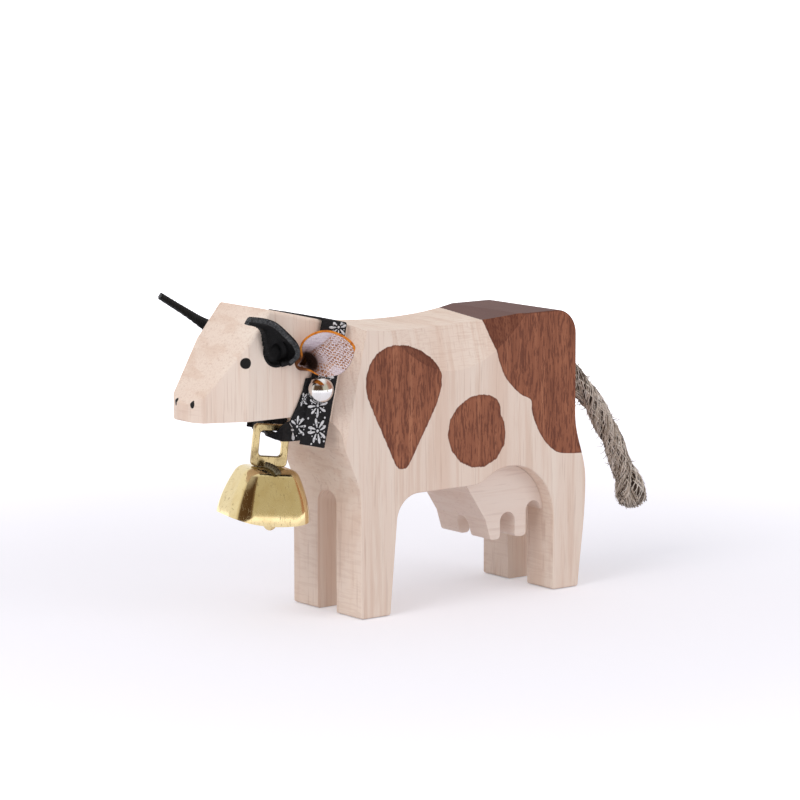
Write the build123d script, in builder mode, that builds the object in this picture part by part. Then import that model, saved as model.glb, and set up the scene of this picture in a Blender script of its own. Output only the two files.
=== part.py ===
"""Sawn wooden cow with leather horns and ears, a rope tail, a ribbon collar and a brass bell.

Units are millimetres. X runs from the nose to the rump, Y across the animal, Z up.
The origin lies on the floor under the middle of the wooden body.
"""
import os
from math import asin, atan2, cos, degrees, pi, radians, sin, sqrt, tan

from build123d import *

os.makedirs("parts", exist_ok=True)

# One overrun serves every cut that has to break through a surface
overrun = 6.0

# The board that the animal is sawn from
body_length = 152.5
body_width = 37.6
rump_height = 95.3
saddle_height = 93.1
withers_height = 94.6
belly_height = 39.3

# Front legs, measured back from the nose
leg_front = 57.0
front_foot = 12.0
front_leg_lean = 3.5
elbow_radius = 9.0

# Rear legs and the arch in front of them, measured forward from the rump
arch_setback = 33.0
arch_radius = 18.6
arch_height = 44.3
arch_mid_turn = 60.0
belly_blend = 10.0
heel_setback = 3.2
hip_height = 36.0
waist_height = 60.0
waist_setback = 4.7
rump_radius = 8.5

# Saddle of the back
croup_setback = 29.3
saddle_setback = 59.4
withers_offset = 1.5
neck_foot_offset = 0.8
neck_foot_rise = 1.4

# Slots sawn between the legs
slot_width = 10.4
slot_height = 40.4
slot_corner = 4.4
slot_slope = 14.0

# Neck and head
poll_offset = 24.4
poll_height = 103.4
nose_height = 73.6
muzzle_depth = 5.3
throat_offset = 50.4
throat_drop = 11.3
chest_drop = 15.0
throat_radius = 9.0
breast_radius = 6.0
brisket_radius = 20.0
head_width = 28.4
cheek_offset = 16.0
muzzle_width = 16.8
muzzle_bow = 2.6
neck_back_offset = 51.0
neck_back_height = 78.0
shoulder_run = 4.5
flare_drop = 12.0
edge_round = 0.8
head_round = 1.2
leg_round = 0.5

# Hollow sanded into each flank by a drum
scoop_radius = 98.0
scoop_offset = 96.0
scoop_foot = 78.4
scoop_tilt = 16.0

# Leather horns, each rolled into a blind hole in the side of the head
horn_offset = 27.1
horn_drop = 13.2
horn_bore = 11.0
horn_depth = 7.0
horn_leather = 1.7
horn_curl_radius = 3.4
horn_sweep = 18.4
horn_reach = 9.2
horn_rise_left = 10.8
horn_rise_right = 15.2

# Stations along each horn: shares of its sweep, reach and rise, the way it runs and the way its
# crown faces as shares of one, the curl's radius as a share, and half the curl in degrees
horn_root_shares = ((0.00, 1.00, 0.00), (0.60, 0.00, 0.80), 130)
horn_left_shares = (
    ((0.01, 0.24, 0.41), (-0.42, 0.86, 0.29), (0.09, -0.28, 0.96), 1.47, 84),
    ((0.28, 0.43, 0.80), (-0.78, 0.30, 0.55), (0.36, -0.51, 0.78), 0.91, 70),
    ((0.56, 0.63, 0.96), (-0.94, 0.26, 0.20), (0.09, -0.58, 0.81), 0.70, 52),
    ((0.93, 0.90, 1.06), (-0.97, 0.18, 0.14), (0.03, -0.75, 0.66), 0.60, 36),
)
horn_right_shares = (
    ((0.01, 0.24, 0.30), (-0.45, 0.80, 0.38), (0.14, -0.36, 0.92), 1.47, 84),
    ((0.32, 0.45, 0.44), (-0.76, 0.25, 0.60), (0.40, -0.57, 0.72), 0.85, 62),
    ((0.66, 0.71, 0.70), (-0.79, 0.24, 0.57), (0.36, -0.57, 0.74), 0.66, 46),
    ((1.07, 0.93, 1.02), (-0.78, 0.22, 0.59), (0.38, -0.60, 0.71), 0.60, 36),
)

# Leather ears, each rolled into a blind hole behind the horn
ear_offset = 36.9
ear_rise = 9.5
ear_bore = 6.0
ear_depth = 6.0
ear_leather = 1.5
ear_length = 19.0
ear_spread = 16.2
ear_turn = 50.0
ear_back = 2.6
ear_out = 10.0
ear_lift = 3.1
fit_gap = 0.1

# Udder insert under the arch
udder_width = 26.4
udder_floor = 18.8
udder_front = 15.2
udder_knee_lean = 8.8
udder_toe_lean = 2.3
udder_knee = 26.0
notch_offset = 3.1
teat_notch = 6.4
teat_width = 4.8
front_notch_top = 27.7
rear_notch_top = 30.4
udder_slot_width = 6.2
udder_slot_top = 25.6
udder_slot_corner = 2.8
teat_round = 1.4
glue_gap = 0.1

# Rope tail in a sloping blind hole near the top of the rump
tail_diameter = 7.0
tail_hole_depth = 5.0
tail_hole_height = 81.5
tail_slope = 40.0
tail_bend_share = 0.45

# The rope's route, from the floor of its hole to its cut end
tail_route = (
    (67.8, 0.0, 84.65),
    (79.9, 0.0, 74.5),
    (91.5, -0.5, 63.5),
    (100.6, -1.0, 50.4),
    (108.2, -0.5, 36.3),
    (115.2, 0.6, 22.1),
)

# Ribbon collar
ribbon_width = 10.0
ribbon_thickness = 0.6
ribbon_gap = 0.15
ribbon_bend = 0.4
collar_setback = 43.9
collar_end_drop = 9.9
collar_far_drop = 7.9
strap_height = 6.4
strap_fold_width = 3.4
strap_fold_drop = 1.7
strap_lead = 1.7
strap_fold_share = 0.20

# Outline of the inner layer under the nail, seen from the side, in ribbon widths: its upper points
# from the nail, its lower ones from the jaw under the nail
lap_upper_shares = ((-0.72, 0.01), (-0.59, 0.41), (0.44, 0.41))
lap_lower_shares = ((0.12, -0.23), (-0.20, -0.74), (-0.86, -0.74), (-1.24, -0.13), (-0.95, 0.35))

# Stations along the strap under the throat, from the near side to the far one. Each gives how far
# across it lies, how far it sweeps back, how high its lower edge lies over that of the fold, its
# height and its width
strap_station_shares = (
    (-1.00, 1.00, 0.06, 1.00, 0.18),
    (-0.54, 0.43, -0.13, 1.06, 0.20),
    (-0.27, 0.45, -0.21, 0.86, 0.30),
    (-0.13, 0.20, -0.12, 0.30, 0.70),
    (0.00, 0.00, 0.00, 0.20, 1.00),
    (0.13, 0.10, 0.00, 0.22, 0.90),
    (0.35, 0.30, 0.06, 0.60, 0.34),
    (0.70, 0.55, 0.06, 0.80, 0.20),
    (1.00, 0.80, 0.06, 0.83, 0.18),
)

# Dome nail through both ends of the ribbon
nail_diameter = 8.6
nail_dome = 3.6
nail_wall = 0.6
nail_shank = 1.2
nail_length = 9.0
nail_rise = 8.1
nail_gap = 0.05

# Bell hanging from the ribbon, turned and rolled as it hangs
bell_offset = 35.0
bell_hang = 5.2
bell_turn = 13.6
bell_roll = 6.5

# Square bail of the bell, brazed to its crown
bail_width = 12.4
bail_height = 13.9
bail_bar = 2.2
bail_foot = 3.5
bail_depth = 1.8
bail_corner = 1.6
bail_window_corner = 1.2
bail_edge = 0.4
braze_gap = 0.05

# Bell shell
shell_width = 28.0
shell_depth = 22.0
shell_height = 18.0
shell_wall = 0.9
shell_corner = 6.4
shell_shoulder = 4.4
rim_bow_radius = 52.0

# Levels of the shell as shares of its height over the rim, and its width there as a share
shell_level_shares = ((1.00, 0.62), (0.68, 0.81), (0.36, 0.945), (0.00, 1.00))

# Wire that carries the clapper: an eye inside, a stem through the shell in front of the bail and
# an end bent down over the shoulder
hanger_wire = 1.3
hanger_clearance = 0.1
hanger_across = -0.8
hanger_forward = 5.2
hanger_turn = 32.0
hanger_bend = 1.0
hanger_sink = 0.45
hanger_bend_turn = 130.0
hanger_end = 2.4
hanger_eye = 1.35
hanger_depth = 6.5

# Clapper
clapper_eye = 1.05
clapper_wire = 1.0
clapper_length = 13.6
clapper_stem = 1.5
clapper_ball = 4.2
clapper_play = 0.05

# Places worked out from the sizes above
nose_x = -body_length / 2
rump_x = body_length / 2
side_y = body_width / 2
head_y = head_width / 2
leg_x = nose_x + leg_front
jaw_z = nose_height - muzzle_depth
throat_z = jaw_z - throat_drop
chest_z = throat_z - chest_drop
horn_z = poll_height - horn_drop
nail_z = jaw_z + nail_rise
ear_z = nail_z + ear_rise
poll_x = nose_x + poll_offset
throat_x = nose_x + throat_offset
arch_x = rump_x - arch_setback
arch_z = arch_height - arch_radius
rear_leg_x = arch_x + arch_radius
arch_mid = radians(arch_mid_turn)
arch_start_x = arch_x - sqrt(arch_radius**2 - (belly_height - arch_z) ** 2)
front_heel_x = leg_x + front_foot
elbow_x = front_heel_x + front_leg_lean
neck_foot_x = leg_x - neck_foot_offset
neck_foot_z = withers_height + neck_foot_rise
neck_slope = degrees(atan2(poll_height - neck_foot_z, neck_foot_x - poll_x))
tail_turn = radians(tail_slope)
tail_mouth = Plane(
    origin=(rump_x - waist_setback, 0, tail_hole_height),
    x_dir=(0, 1, 0),
    z_dir=(cos(tail_turn), 0, -sin(tail_turn)),
)
neck_turn = radians(neck_slope)
collar_x = nose_x + collar_setback
collar_plane = Plane(
    origin=(collar_x, 0, nail_z),
    x_dir=(0, 1, 0),
    z_dir=(cos(neck_turn), 0, -sin(neck_turn)),
)
nail_plane = Plane(origin=(collar_x, -head_y, nail_z), x_dir=(1, 0, 0), z_dir=(0, -1, 0))
bell_yaw = radians(bell_turn)
bell_lean = radians(bell_roll)
bell_across = Vector(cos(bell_yaw), -sin(bell_yaw), 0)
bell_normal = Vector(-sin(bell_yaw), -cos(bell_yaw), 0)
bell_up = Vector(0, 0, 1) * cos(bell_lean) + bell_across * sin(bell_lean)
bell_wide = bell_across * cos(bell_lean) - Vector(0, 0, 1) * sin(bell_lean)
bell_pivot = Vector(nose_x + bell_offset, 0, jaw_z - bell_hang)
bell_front = Plane(origin=bell_pivot, x_dir=bell_wide, z_dir=bell_normal)
crown_drop = bail_height - bail_bar / 2 + braze_gap
rim_drop = crown_drop + shell_height
hanger_top = bell_pivot - bell_up * crown_drop + bell_wide * hanger_across + bell_normal * hanger_forward
clapper_pivot = hanger_top - bell_up * hanger_depth


def nearest(shapes, point):
    """The one of some vertices or edges that lies nearest a point."""
    return shapes.sort_by_distance(point)[0]


def neck_back(height):
    """X of the slanting shoulder line, square to the slope of the neck, at a height."""
    return nose_x + neck_back_offset + (height - neck_back_height) * tan(radians(neck_slope))


def cheek_cutter_outline(out_share):
    """Outline, seen from the side, of what is sawn off beside head and neck.

    The share is 0 on the cheek and 1 on the flank, and the outline grows between them.
    """
    back = shoulder_run * out_share
    low = throat_z - flare_drop * out_share
    high = poll_height + overrun
    front = nose_x - overrun
    return [(front, low), (neck_back(low) + back, low), (neck_back(high) + back, high), (front, high)]


# Cow body: one board, sawn to its side view, then narrowed, slotted and sanded
with BuildPart() as cow_body:
    with BuildSketch(Plane.XZ) as side_view:
        with BuildLine():
            Polyline(
                (leg_x, 0),
                (front_heel_x, 0),
                (elbow_x, belly_height),
                (arch_start_x, belly_height),
            )
            ThreePointArc(
                (arch_start_x, belly_height),
                (arch_x + arch_radius * cos(arch_mid), arch_z + arch_radius * sin(arch_mid)),
                (rear_leg_x, arch_z),
            )
            Polyline((rear_leg_x, arch_z), (rear_leg_x, 0), (rump_x - heel_setback, 0))
            Spline(
                (rump_x - heel_setback, 0),
                (rump_x, hip_height),
                tangents=((heel_setback, hip_height), (0, hip_height)),
            )
            Spline(
                (rump_x, hip_height),
                (rump_x - waist_setback, waist_height),
                tangents=((0, hip_height), (0, hip_height)),
            )
            Line((rump_x - waist_setback, waist_height), (rump_x - waist_setback, rump_height))
            Line((rump_x - waist_setback, rump_height), (rump_x - croup_setback, rump_height))
            ThreePointArc(
                (rump_x - croup_setback, rump_height),
                (rump_x - saddle_setback, saddle_height),
                (leg_x + withers_offset, withers_height),
            )
            Polyline(
                (leg_x + withers_offset, withers_height),
                (neck_foot_x, neck_foot_z),
                (poll_x, poll_height),
                (nose_x, nose_height),
                (nose_x, jaw_z),
                (throat_x, jaw_z),
                (throat_x, throat_z),
                (leg_x, chest_z),
                (leg_x, 0),
            )
        make_face()
        fillet(nearest(side_view.vertices(), (elbow_x, belly_height)), elbow_radius)
        fillet(nearest(side_view.vertices(), (arch_start_x, belly_height)), belly_blend)
        fillet(nearest(side_view.vertices(), (rump_x - waist_setback, rump_height)), rump_radius)
        fillet(nearest(side_view.vertices(), (throat_x, jaw_z)), throat_radius)
        fillet(nearest(side_view.vertices(), (throat_x, throat_z)), breast_radius)
        fillet(nearest(side_view.vertices(), (leg_x, chest_z)), brisket_radius)
        for corner in (
            (nose_x, jaw_z),
            (nose_x, nose_height),
            (poll_x, poll_height),
            (leg_x, 0),
            (front_heel_x, 0),
            (rear_leg_x, 0),
            (rump_x - heel_setback, 0),
        ):
            fillet(nearest(side_view.vertices(), corner), edge_round)
    extrude(amount=side_y, both=True)

    # Hollows in the flanks, made by a drum that leans inward at the top
    drum_turn = radians(scoop_tilt)
    drum_axis_y = side_y + scoop_radius / cos(drum_turn)
    with Locations((nose_x + scoop_offset, drum_axis_y, scoop_foot)):
        Cylinder(scoop_radius, body_length, rotation=(scoop_tilt, 0, 0), mode=Mode.SUBTRACT)
    with Locations((nose_x + scoop_offset, -drum_axis_y, scoop_foot)):
        Cylinder(scoop_radius, body_length, rotation=(-scoop_tilt, 0, 0), mode=Mode.SUBTRACT)

    # Neck and head are sawn narrower than the trunk, with a flare at shoulder and chest
    past_flank = side_y + overrun
    past_share = (past_flank - head_y) / (side_y - head_y)
    with BuildSketch(Plane.XZ.offset(head_y)):
        with BuildLine():
            Polyline(*cheek_cutter_outline(0), close=True)
        make_face()
    with BuildSketch(Plane.XZ.offset(past_flank)):
        with BuildLine():
            Polyline(*cheek_cutter_outline(past_share), close=True)
        make_face()
    loft(mode=Mode.SUBTRACT)
    with BuildSketch(Plane.XZ.offset(-head_y)):
        with BuildLine():
            Polyline(*cheek_cutter_outline(0), close=True)
        make_face()
    with BuildSketch(Plane.XZ.offset(-past_flank)):
        with BuildLine():
            Polyline(*cheek_cutter_outline(past_share), close=True)
        make_face()
    loft(mode=Mode.SUBTRACT)

    # The muzzle tapers in plan to a bowed end
    with BuildSketch(Plane.XY.offset(jaw_z - overrun)):
        with Locations((nose_x - overrun, 0)):
            Rectangle(overrun + cheek_offset, head_width + overrun, align=(Align.MIN, Align.CENTER))
        with BuildLine():
            Polyline(
                (nose_x + muzzle_bow, muzzle_width / 2),
                (nose_x + cheek_offset, head_y),
                (nose_x + cheek_offset, -head_y),
                (nose_x + muzzle_bow, -muzzle_width / 2),
            )
            ThreePointArc(
                (nose_x + muzzle_bow, -muzzle_width / 2),
                (nose_x, 0),
                (nose_x + muzzle_bow, muzzle_width / 2),
            )
        make_face(mode=Mode.SUBTRACT)
    extrude(amount=poll_height, mode=Mode.SUBTRACT)

    # Round-topped slots part the legs, and rise towards chest and tail
    for slot_x, slot_side in ((leg_x, 1), (rump_x, -1)):
        slot_plane = Plane(origin=(slot_x, 0, 0), x_dir=(0, 1, 0), z_dir=(1, 0, 0))
        with BuildSketch(slot_plane) as slot_view:
            with Locations((0, slot_height)):
                Rectangle(slot_width, slot_height + overrun, align=(Align.CENTER, Align.MAX))
            fillet(slot_view.vertices().group_by(Axis.Y)[-1], slot_corner)
        slot_turn = radians(slot_slope)
        slot_reach = front_foot + front_leg_lean + overrun
        into = (slot_side * cos(slot_turn), 0, -sin(slot_turn))
        extrude(amount=slot_reach, dir=into, mode=Mode.SUBTRACT)
        extrude(slot_view.sketch, amount=overrun, dir=(-into[0], 0, -into[2]), mode=Mode.SUBTRACT)

    # Sanded edges along forehead and crest and round the legs
    forehead_normal = (nose_height - poll_height, 0, poll_x - nose_x)
    forehead = Plane(origin=(nose_x, 0, nose_height), z_dir=forehead_normal)
    crest = Plane(origin=(poll_x, 0, poll_height), z_dir=(sin(neck_turn), 0, cos(neck_turn)))
    upper_faces = cow_body.faces().filter_by(forehead) + cow_body.faces().filter_by(crest)
    side_edges = upper_faces.edges().filter_by(
        lambda edge: edge.bounding_box().size.X > muzzle_depth and abs(edge.center().Y) > fit_gap
    )
    fillet(side_edges, head_round)
    flank_edges = cow_body.edges().filter_by(
        lambda edge: edge.bounding_box().size.Y < fit_gap and abs(edge.center().Y) > side_y - fit_gap
    )
    fillet(flank_edges.filter_by_position(Axis.Z, 0, waist_height), leg_round)

    # Blind holes for horns, ears, nail and tail
    for hole_x, hole_z, hole_bore, hole_depth in (
        (nose_x + horn_offset, horn_z, horn_bore, horn_depth),
        (nose_x + ear_offset, ear_z, ear_bore, ear_depth),
    ):
        for hole_side in (-1, 1):
            with BuildSketch(Plane.XZ.offset(-hole_side * head_y)):
                with Locations((hole_x, hole_z)):
                    Circle(hole_bore / 2)
            extrude(amount=hole_side * hole_depth, mode=Mode.SUBTRACT)
    with BuildSketch(tail_mouth.offset(-tail_hole_depth)):
        Circle(tail_diameter / 2 + fit_gap)
    extrude(amount=tail_hole_depth + overrun, mode=Mode.SUBTRACT)
    with BuildSketch(nail_plane.offset(-nail_length - fit_gap)):
        Circle(nail_shank / 2 + nail_gap)
    extrude(amount=nail_length + overrun, mode=Mode.SUBTRACT)

cow_body.part.label = "cow_body"
export_step(cow_body.part, "parts/cow_body.step")


def curled_strip(place, run, crown, radius, half_angle):
    """Section of a curled leather band across the way it runs; its crown lies at the place."""
    run_way = Vector(*run).normalized()
    across_way = Vector(*crown).cross(run_way)
    outer, inner = radius + horn_leather / 2, radius - horn_leather / 2
    turn = radians(half_angle)

    def on_curl(reach, angle):
        return (reach * sin(angle), reach * cos(angle) - radius)

    with BuildSketch(Plane(origin=place, x_dir=across_way, z_dir=run_way)) as band:
        with BuildLine():
            ThreePointArc(on_curl(outer, turn), on_curl(outer, 0), on_curl(outer, -turn))
            Line(on_curl(outer, -turn), on_curl(inner, -turn))
            ThreePointArc(on_curl(inner, -turn), on_curl(inner, 0), on_curl(inner, turn))
            Line(on_curl(inner, turn), on_curl(outer, turn))
        make_face()
    return band.sketch


# Horns: strips of ribbed leather, curled tight in their holes and opening towards their tips
root_radius = (horn_bore - horn_leather) / 2 - fit_gap
for horn_side, horn_name, horn_rise, horn_shares in (
    (-1, "left", horn_rise_left, horn_left_shares),
    (1, "right", horn_rise_right, horn_right_shares),
):
    root_run, root_crown, root_angle = horn_root_shares
    root_run = Vector(root_run[0], horn_side * root_run[1], root_run[2])
    root_place = Vector(nose_x + horn_offset, horn_side * head_y, horn_z)
    root_place = root_place + Vector(*root_crown) * root_radius
    sections = [curled_strip(root_place, root_run, root_crown, root_radius, root_angle)]
    for (forward, reach, rise), run, crown, radius_share, half_angle in horn_shares:
        place = Vector(
            nose_x + horn_offset - forward * horn_sweep,
            horn_side * (head_y + reach * horn_reach),
            horn_z + rise * horn_rise,
        )
        run_way = (run[0], horn_side * run[1], run[2])
        crown_way = (crown[0], horn_side * crown[1], crown[2])
        curl_radius = radius_share * horn_curl_radius
        sections.append(curled_strip(place, run_way, crown_way, curl_radius, half_angle))
    with BuildPart() as horn:
        extrude(sections[0], amount=horn_depth - fit_gap, dir=root_run * -1)
        loft(sections)
    horn.part.label = f"horn_{horn_name}"
    export_step(horn.part, f"parts/horn_{horn_name}.step")

# Ears: leather discs, each rolled to a scoop whose point sits in a blind hole
ear_x = nose_x + ear_offset
ear_swing = radians(ear_turn)
ear_root = Plane(origin=(ear_x, -head_y, ear_z), x_dir=(1, 0, 0), z_dir=(0, -1, 0))
ear_mouth = Plane(
    origin=(ear_x + ear_back, -head_y - ear_out, ear_z + ear_lift),
    x_dir=(cos(ear_swing), -sin(ear_swing), 0),
    z_dir=(-sin(ear_swing), -cos(ear_swing), 0),
)
ear_stem = ear_bore / 2 - fit_gap
with BuildPart() as ear_left:
    with BuildSketch(ear_root):
        Circle(ear_stem)
    with BuildSketch(ear_mouth):
        Ellipse(ear_length / 2, ear_spread / 2)
    loft()
    with BuildSketch(ear_root):
        Circle(ear_stem)
    extrude(amount=fit_gap - ear_depth)
    with BuildSketch(ear_root):
        Circle(ear_stem - ear_leather)
    with BuildSketch(ear_mouth):
        Ellipse(ear_length / 2 - ear_leather, ear_spread / 2 - ear_leather)
    loft(mode=Mode.SUBTRACT)
    with BuildSketch(ear_root):
        Circle(ear_stem - ear_leather)
    extrude(amount=-ear_depth / 2, mode=Mode.SUBTRACT)
ear_left.part.label = "ear_left"
export_step(ear_left.part, "parts/ear_left.step")

with BuildPart() as ear_right:
    mirror(ear_left.part, about=Plane.XZ)
ear_right.part.label = "ear_right"
export_step(ear_right.part, "parts/ear_right.step")

# Udder: a separate block glued under belly and arch, slotted into four teats
glued_radius = arch_radius - glue_gap
glued_belly = belly_height - glue_gap
glued_start_x = arch_x - sqrt(glued_radius**2 - (glued_belly - arch_z) ** 2)
udder_x = arch_x - udder_front
front_lean = udder_knee_lean / (belly_height - udder_knee)
over_belly = belly_height + overrun
front_notch_x = arch_x + notch_offset
rear_notch_x = front_notch_x + teat_notch + teat_width
with BuildPart() as udder:
    with BuildSketch(Plane.XZ) as udder_view:
        with BuildLine():
            Line((udder_x - belly_blend, glued_belly), (glued_start_x, glued_belly))
            ThreePointArc(
                (glued_start_x, glued_belly),
                (arch_x + glued_radius * cos(arch_mid), arch_z + glued_radius * sin(arch_mid)),
                (arch_x + glued_radius, arch_z),
            )
            Polyline(
                (arch_x + glued_radius, arch_z),
                (arch_x + glued_radius, udder_floor),
                (udder_x - belly_blend, udder_floor),
                (udder_x - belly_blend, glued_belly),
            )
        make_face()
        fillet(nearest(udder_view.vertices(), (glued_start_x, glued_belly)), belly_blend + glue_gap)
        with BuildLine():
            Polyline(
                (udder_x + udder_knee_lean + udder_toe_lean, udder_floor),
                (udder_x + udder_knee_lean, udder_knee),
                (udder_x + udder_knee_lean - front_lean * (over_belly - udder_knee), over_belly),
                (udder_x - belly_blend - overrun, over_belly),
                (udder_x - belly_blend - overrun, udder_floor),
                close=True,
            )
        make_face(mode=Mode.SUBTRACT)
        for notch_x, notch_top in ((front_notch_x, front_notch_top), (rear_notch_x, rear_notch_top)):
            notch_crown = notch_top - teat_notch / 2
            with Locations((notch_x, notch_crown)):
                Circle(teat_notch / 2, mode=Mode.SUBTRACT)
                Rectangle(teat_notch, notch_top, align=(Align.CENTER, Align.MAX), mode=Mode.SUBTRACT)
        with Locations((rear_notch_x, rear_notch_top - teat_notch / 2)):
            Rectangle(teat_notch * 2, rear_notch_top, align=(Align.MIN, Align.MAX), mode=Mode.SUBTRACT)
        fillet(udder_view.vertices().filter_by_position(Axis.Y, 0, udder_floor), teat_round)
    extrude(amount=udder_width / 2, both=True)
    with BuildSketch(Plane.YZ.offset(udder_x)) as udder_slot:
        with Locations((0, udder_slot_top)):
            Rectangle(udder_slot_width, udder_slot_top, align=(Align.CENTER, Align.MAX))
        fillet(udder_slot.vertices().group_by(Axis.Y)[-1], udder_slot_corner)
    extrude(amount=arch_radius * 2, mode=Mode.SUBTRACT)
udder.part.label = "udder"
export_step(udder.part, "parts/udder.step")

# Tail: a length of rope, from the floor of its hole to its cut end
tail_runs = [Vector(b) - Vector(a) for a, b in zip(tail_route, tail_route[1:])]
tail_radii = []
for first, second in zip(tail_runs, tail_runs[1:]):
    half_turn = radians(first.get_angle(second)) / 2
    tail_radii.append(tail_bend_share * min(first.length, second.length) / tan(half_turn))
print("tail radii", [round(radius, 1) for radius in tail_radii])
with BuildPart() as tail_rope:
    with BuildLine() as tail_line:
        FilletPolyline(*tail_route, radius=tail_radii)
    with BuildSketch(Plane(origin=tail_route[0], z_dir=tail_runs[0])):
        Circle(tail_diameter / 2)
    sweep()
tail_length = sum(edge.length for edge in tail_line.edges())
tail_section = pi * tail_diameter**2 / 4
tail_share = tail_rope.part.volume / tail_length / tail_section
print("tail length", round(tail_length, 2), "volume share", round(tail_share, 6))
tail_rope.part.label = "tail_rope"
export_step(tail_rope.part, "parts/tail_rope.step")

# Collar: one ribbon from its cut end on the near side, over the neck, down the far side, folded
# on edge under the throat, and up the near side again as the inner layer under the nail
near_face = head_y + 2 * ribbon_gap + ribbon_thickness
far_face = head_y + ribbon_gap
neck_top = (neck_foot_x - collar_x) * sin(neck_turn) + (neck_foot_z - nail_z) * cos(neck_turn)
over_neck = neck_top + ribbon_gap
cut_end = (jaw_z - collar_end_drop - nail_z) / cos(neck_turn)
far_end = (jaw_z - collar_far_drop - nail_z) / cos(neck_turn)
with BuildPart() as collar_ribbon:
    with BuildSketch(collar_plane) as collar_section:
        with BuildLine():
            Polyline(
                (-near_face, cut_end),
                (-near_face, over_neck),
                (far_face, over_neck),
                (far_face, far_end),
                (far_face + ribbon_thickness, far_end),
                (far_face + ribbon_thickness, over_neck + ribbon_thickness),
                (-near_face - ribbon_thickness, over_neck + ribbon_thickness),
                (-near_face - ribbon_thickness, cut_end),
                close=True,
            )
        make_face()
        for corner_x in (-near_face, far_face):
            fillet(nearest(collar_section.vertices(), (corner_x, over_neck)), ribbon_bend)
        outer_bend = ribbon_bend + ribbon_thickness
        for corner_x in (-near_face - ribbon_thickness, far_face + ribbon_thickness):
            outer_corner = (corner_x, over_neck + ribbon_thickness)
            fillet(nearest(collar_section.vertices(), outer_corner), outer_bend)
    extrude(amount=ribbon_width / 2, both=True)
    with BuildSketch(Plane.XZ.offset(head_y + ribbon_gap)):
        with BuildLine():
            Polyline(
                *[
                    (collar_x + back * ribbon_width, level + up * ribbon_width)
                    for level, shares in ((nail_z, lap_upper_shares), (jaw_z, lap_lower_shares))
                    for back, up in shares
                ],
                close=True,
            )
        make_face()
    extrude(amount=ribbon_thickness)
    strap_end_y = head_y + ribbon_gap + ribbon_thickness / 2
    strap_sweep = collar_x + far_end * sin(neck_turn) - bell_pivot.X - strap_lead
    fold_foot = bell_pivot.Z - strap_fold_drop - strap_fold_share * strap_height
    for across, back, lift, tall, wide in strap_station_shares:
        station_z = fold_foot + (lift + tall / 2) * strap_height
        with BuildSketch(Plane.XZ.offset(-across * strap_end_y)):
            with Locations((bell_pivot.X + back * strap_sweep, station_z)):
                Rectangle(wide * strap_fold_width, tall * strap_height)
    loft(ruled=True)
    with BuildSketch(nail_plane.offset(-overrun)):
        Circle(nail_shank / 2 + nail_gap)
    extrude(amount=2 * overrun, mode=Mode.SUBTRACT)
collar_ribbon.part.label = "collar_ribbon"
export_step(collar_ribbon.part, "parts/collar_ribbon.step")

# Dome nail through both layers of ribbon
nail_seat = nail_plane.offset(near_face + ribbon_thickness + nail_gap - head_y).origin
nail_section = Plane(origin=nail_seat, x_dir=(1, 0, 0), z_dir=(0, 0, -1))
dome_radius = (nail_diameter**2 / 4 + nail_dome**2) / (2 * nail_dome)
dome_centre = nail_dome - dome_radius
dome_half = asin(nail_diameter / 2 / dome_radius) / 2
hollow_radius = dome_radius - nail_wall
hollow_edge = sqrt(hollow_radius**2 - dome_centre**2)
hollow_half = asin(hollow_edge / hollow_radius) / 2
shank_radius = nail_shank / 2
with BuildPart() as collar_nail:
    with BuildSketch(nail_section):
        with BuildLine():
            ThreePointArc(
                (0, nail_dome),
                (dome_radius * sin(dome_half), dome_centre + dome_radius * cos(dome_half)),
                (nail_diameter / 2, 0),
            )
            Line((nail_diameter / 2, 0), (hollow_edge, 0))
            ThreePointArc(
                (hollow_edge, 0),
                (hollow_radius * sin(hollow_half), dome_centre + hollow_radius * cos(hollow_half)),
                (0, nail_dome - nail_wall),
            )
            Line((0, nail_dome - nail_wall), (0, nail_dome))
        make_face()
        with BuildLine():
            Polyline(
                (0, nail_dome - nail_wall / 2),
                (shank_radius, nail_dome - nail_wall / 2),
                (shank_radius, nail_shank - nail_length),
                (0, -nail_length),
                close=True,
            )
        make_face()
    revolve(axis=Axis(nail_seat, (0, -1, 0)))
collar_nail.part.label = "collar_nail"
export_step(collar_nail.part, "parts/collar_nail.step")

# Bail: the square ring by which the bell hangs on the strap
window_width = bail_width - 2 * bail_bar
window_height = bail_height - bail_bar - bail_foot
with BuildPart() as bell_bail:
    with BuildSketch(bell_front):
        with Locations((0, (bail_bar - bail_height) / 2)):
            RectangleRounded(bail_width, bail_height, bail_corner)
        with Locations((0, (bail_foot - bail_height) / 2)):
            RectangleRounded(window_width, window_height, bail_window_corner, mode=Mode.SUBTRACT)
    extrude(amount=bail_depth / 2, both=True)
    fillet(bell_bail.faces().filter_by(bell_front).edges(), bail_edge)
bell_bail.part.label = "bell_bail"
export_step(bell_bail.part, "parts/bell_bail.step")


def bell_level(drop):
    """Plane square to the bell's axis at a distance below the bail's top bar."""
    return Plane(origin=bell_pivot - bell_up * drop, x_dir=bell_wide, z_dir=bell_up)


def bell_body(inset, foot):
    """Solid of the bell's outside, or of its inside, inset by the wall and with a longer foot."""
    with BuildPart() as body:
        for level_share, share in shell_level_shares:
            drop = rim_drop - level_share * (shell_height - inset)
            with BuildSketch(bell_level(drop)) as level:
                RectangleRounded(
                    share * shell_width - 2 * inset,
                    share * shell_depth - 2 * inset,
                    share * shell_corner - inset,
                )
        loft()
        fillet(body.faces().sort_by(Axis(bell_pivot, bell_up))[-1].edges(), shell_shoulder - inset)
        if foot:
            extrude(level.sketch, amount=foot, dir=bell_up * -1)
    return body.part


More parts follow.
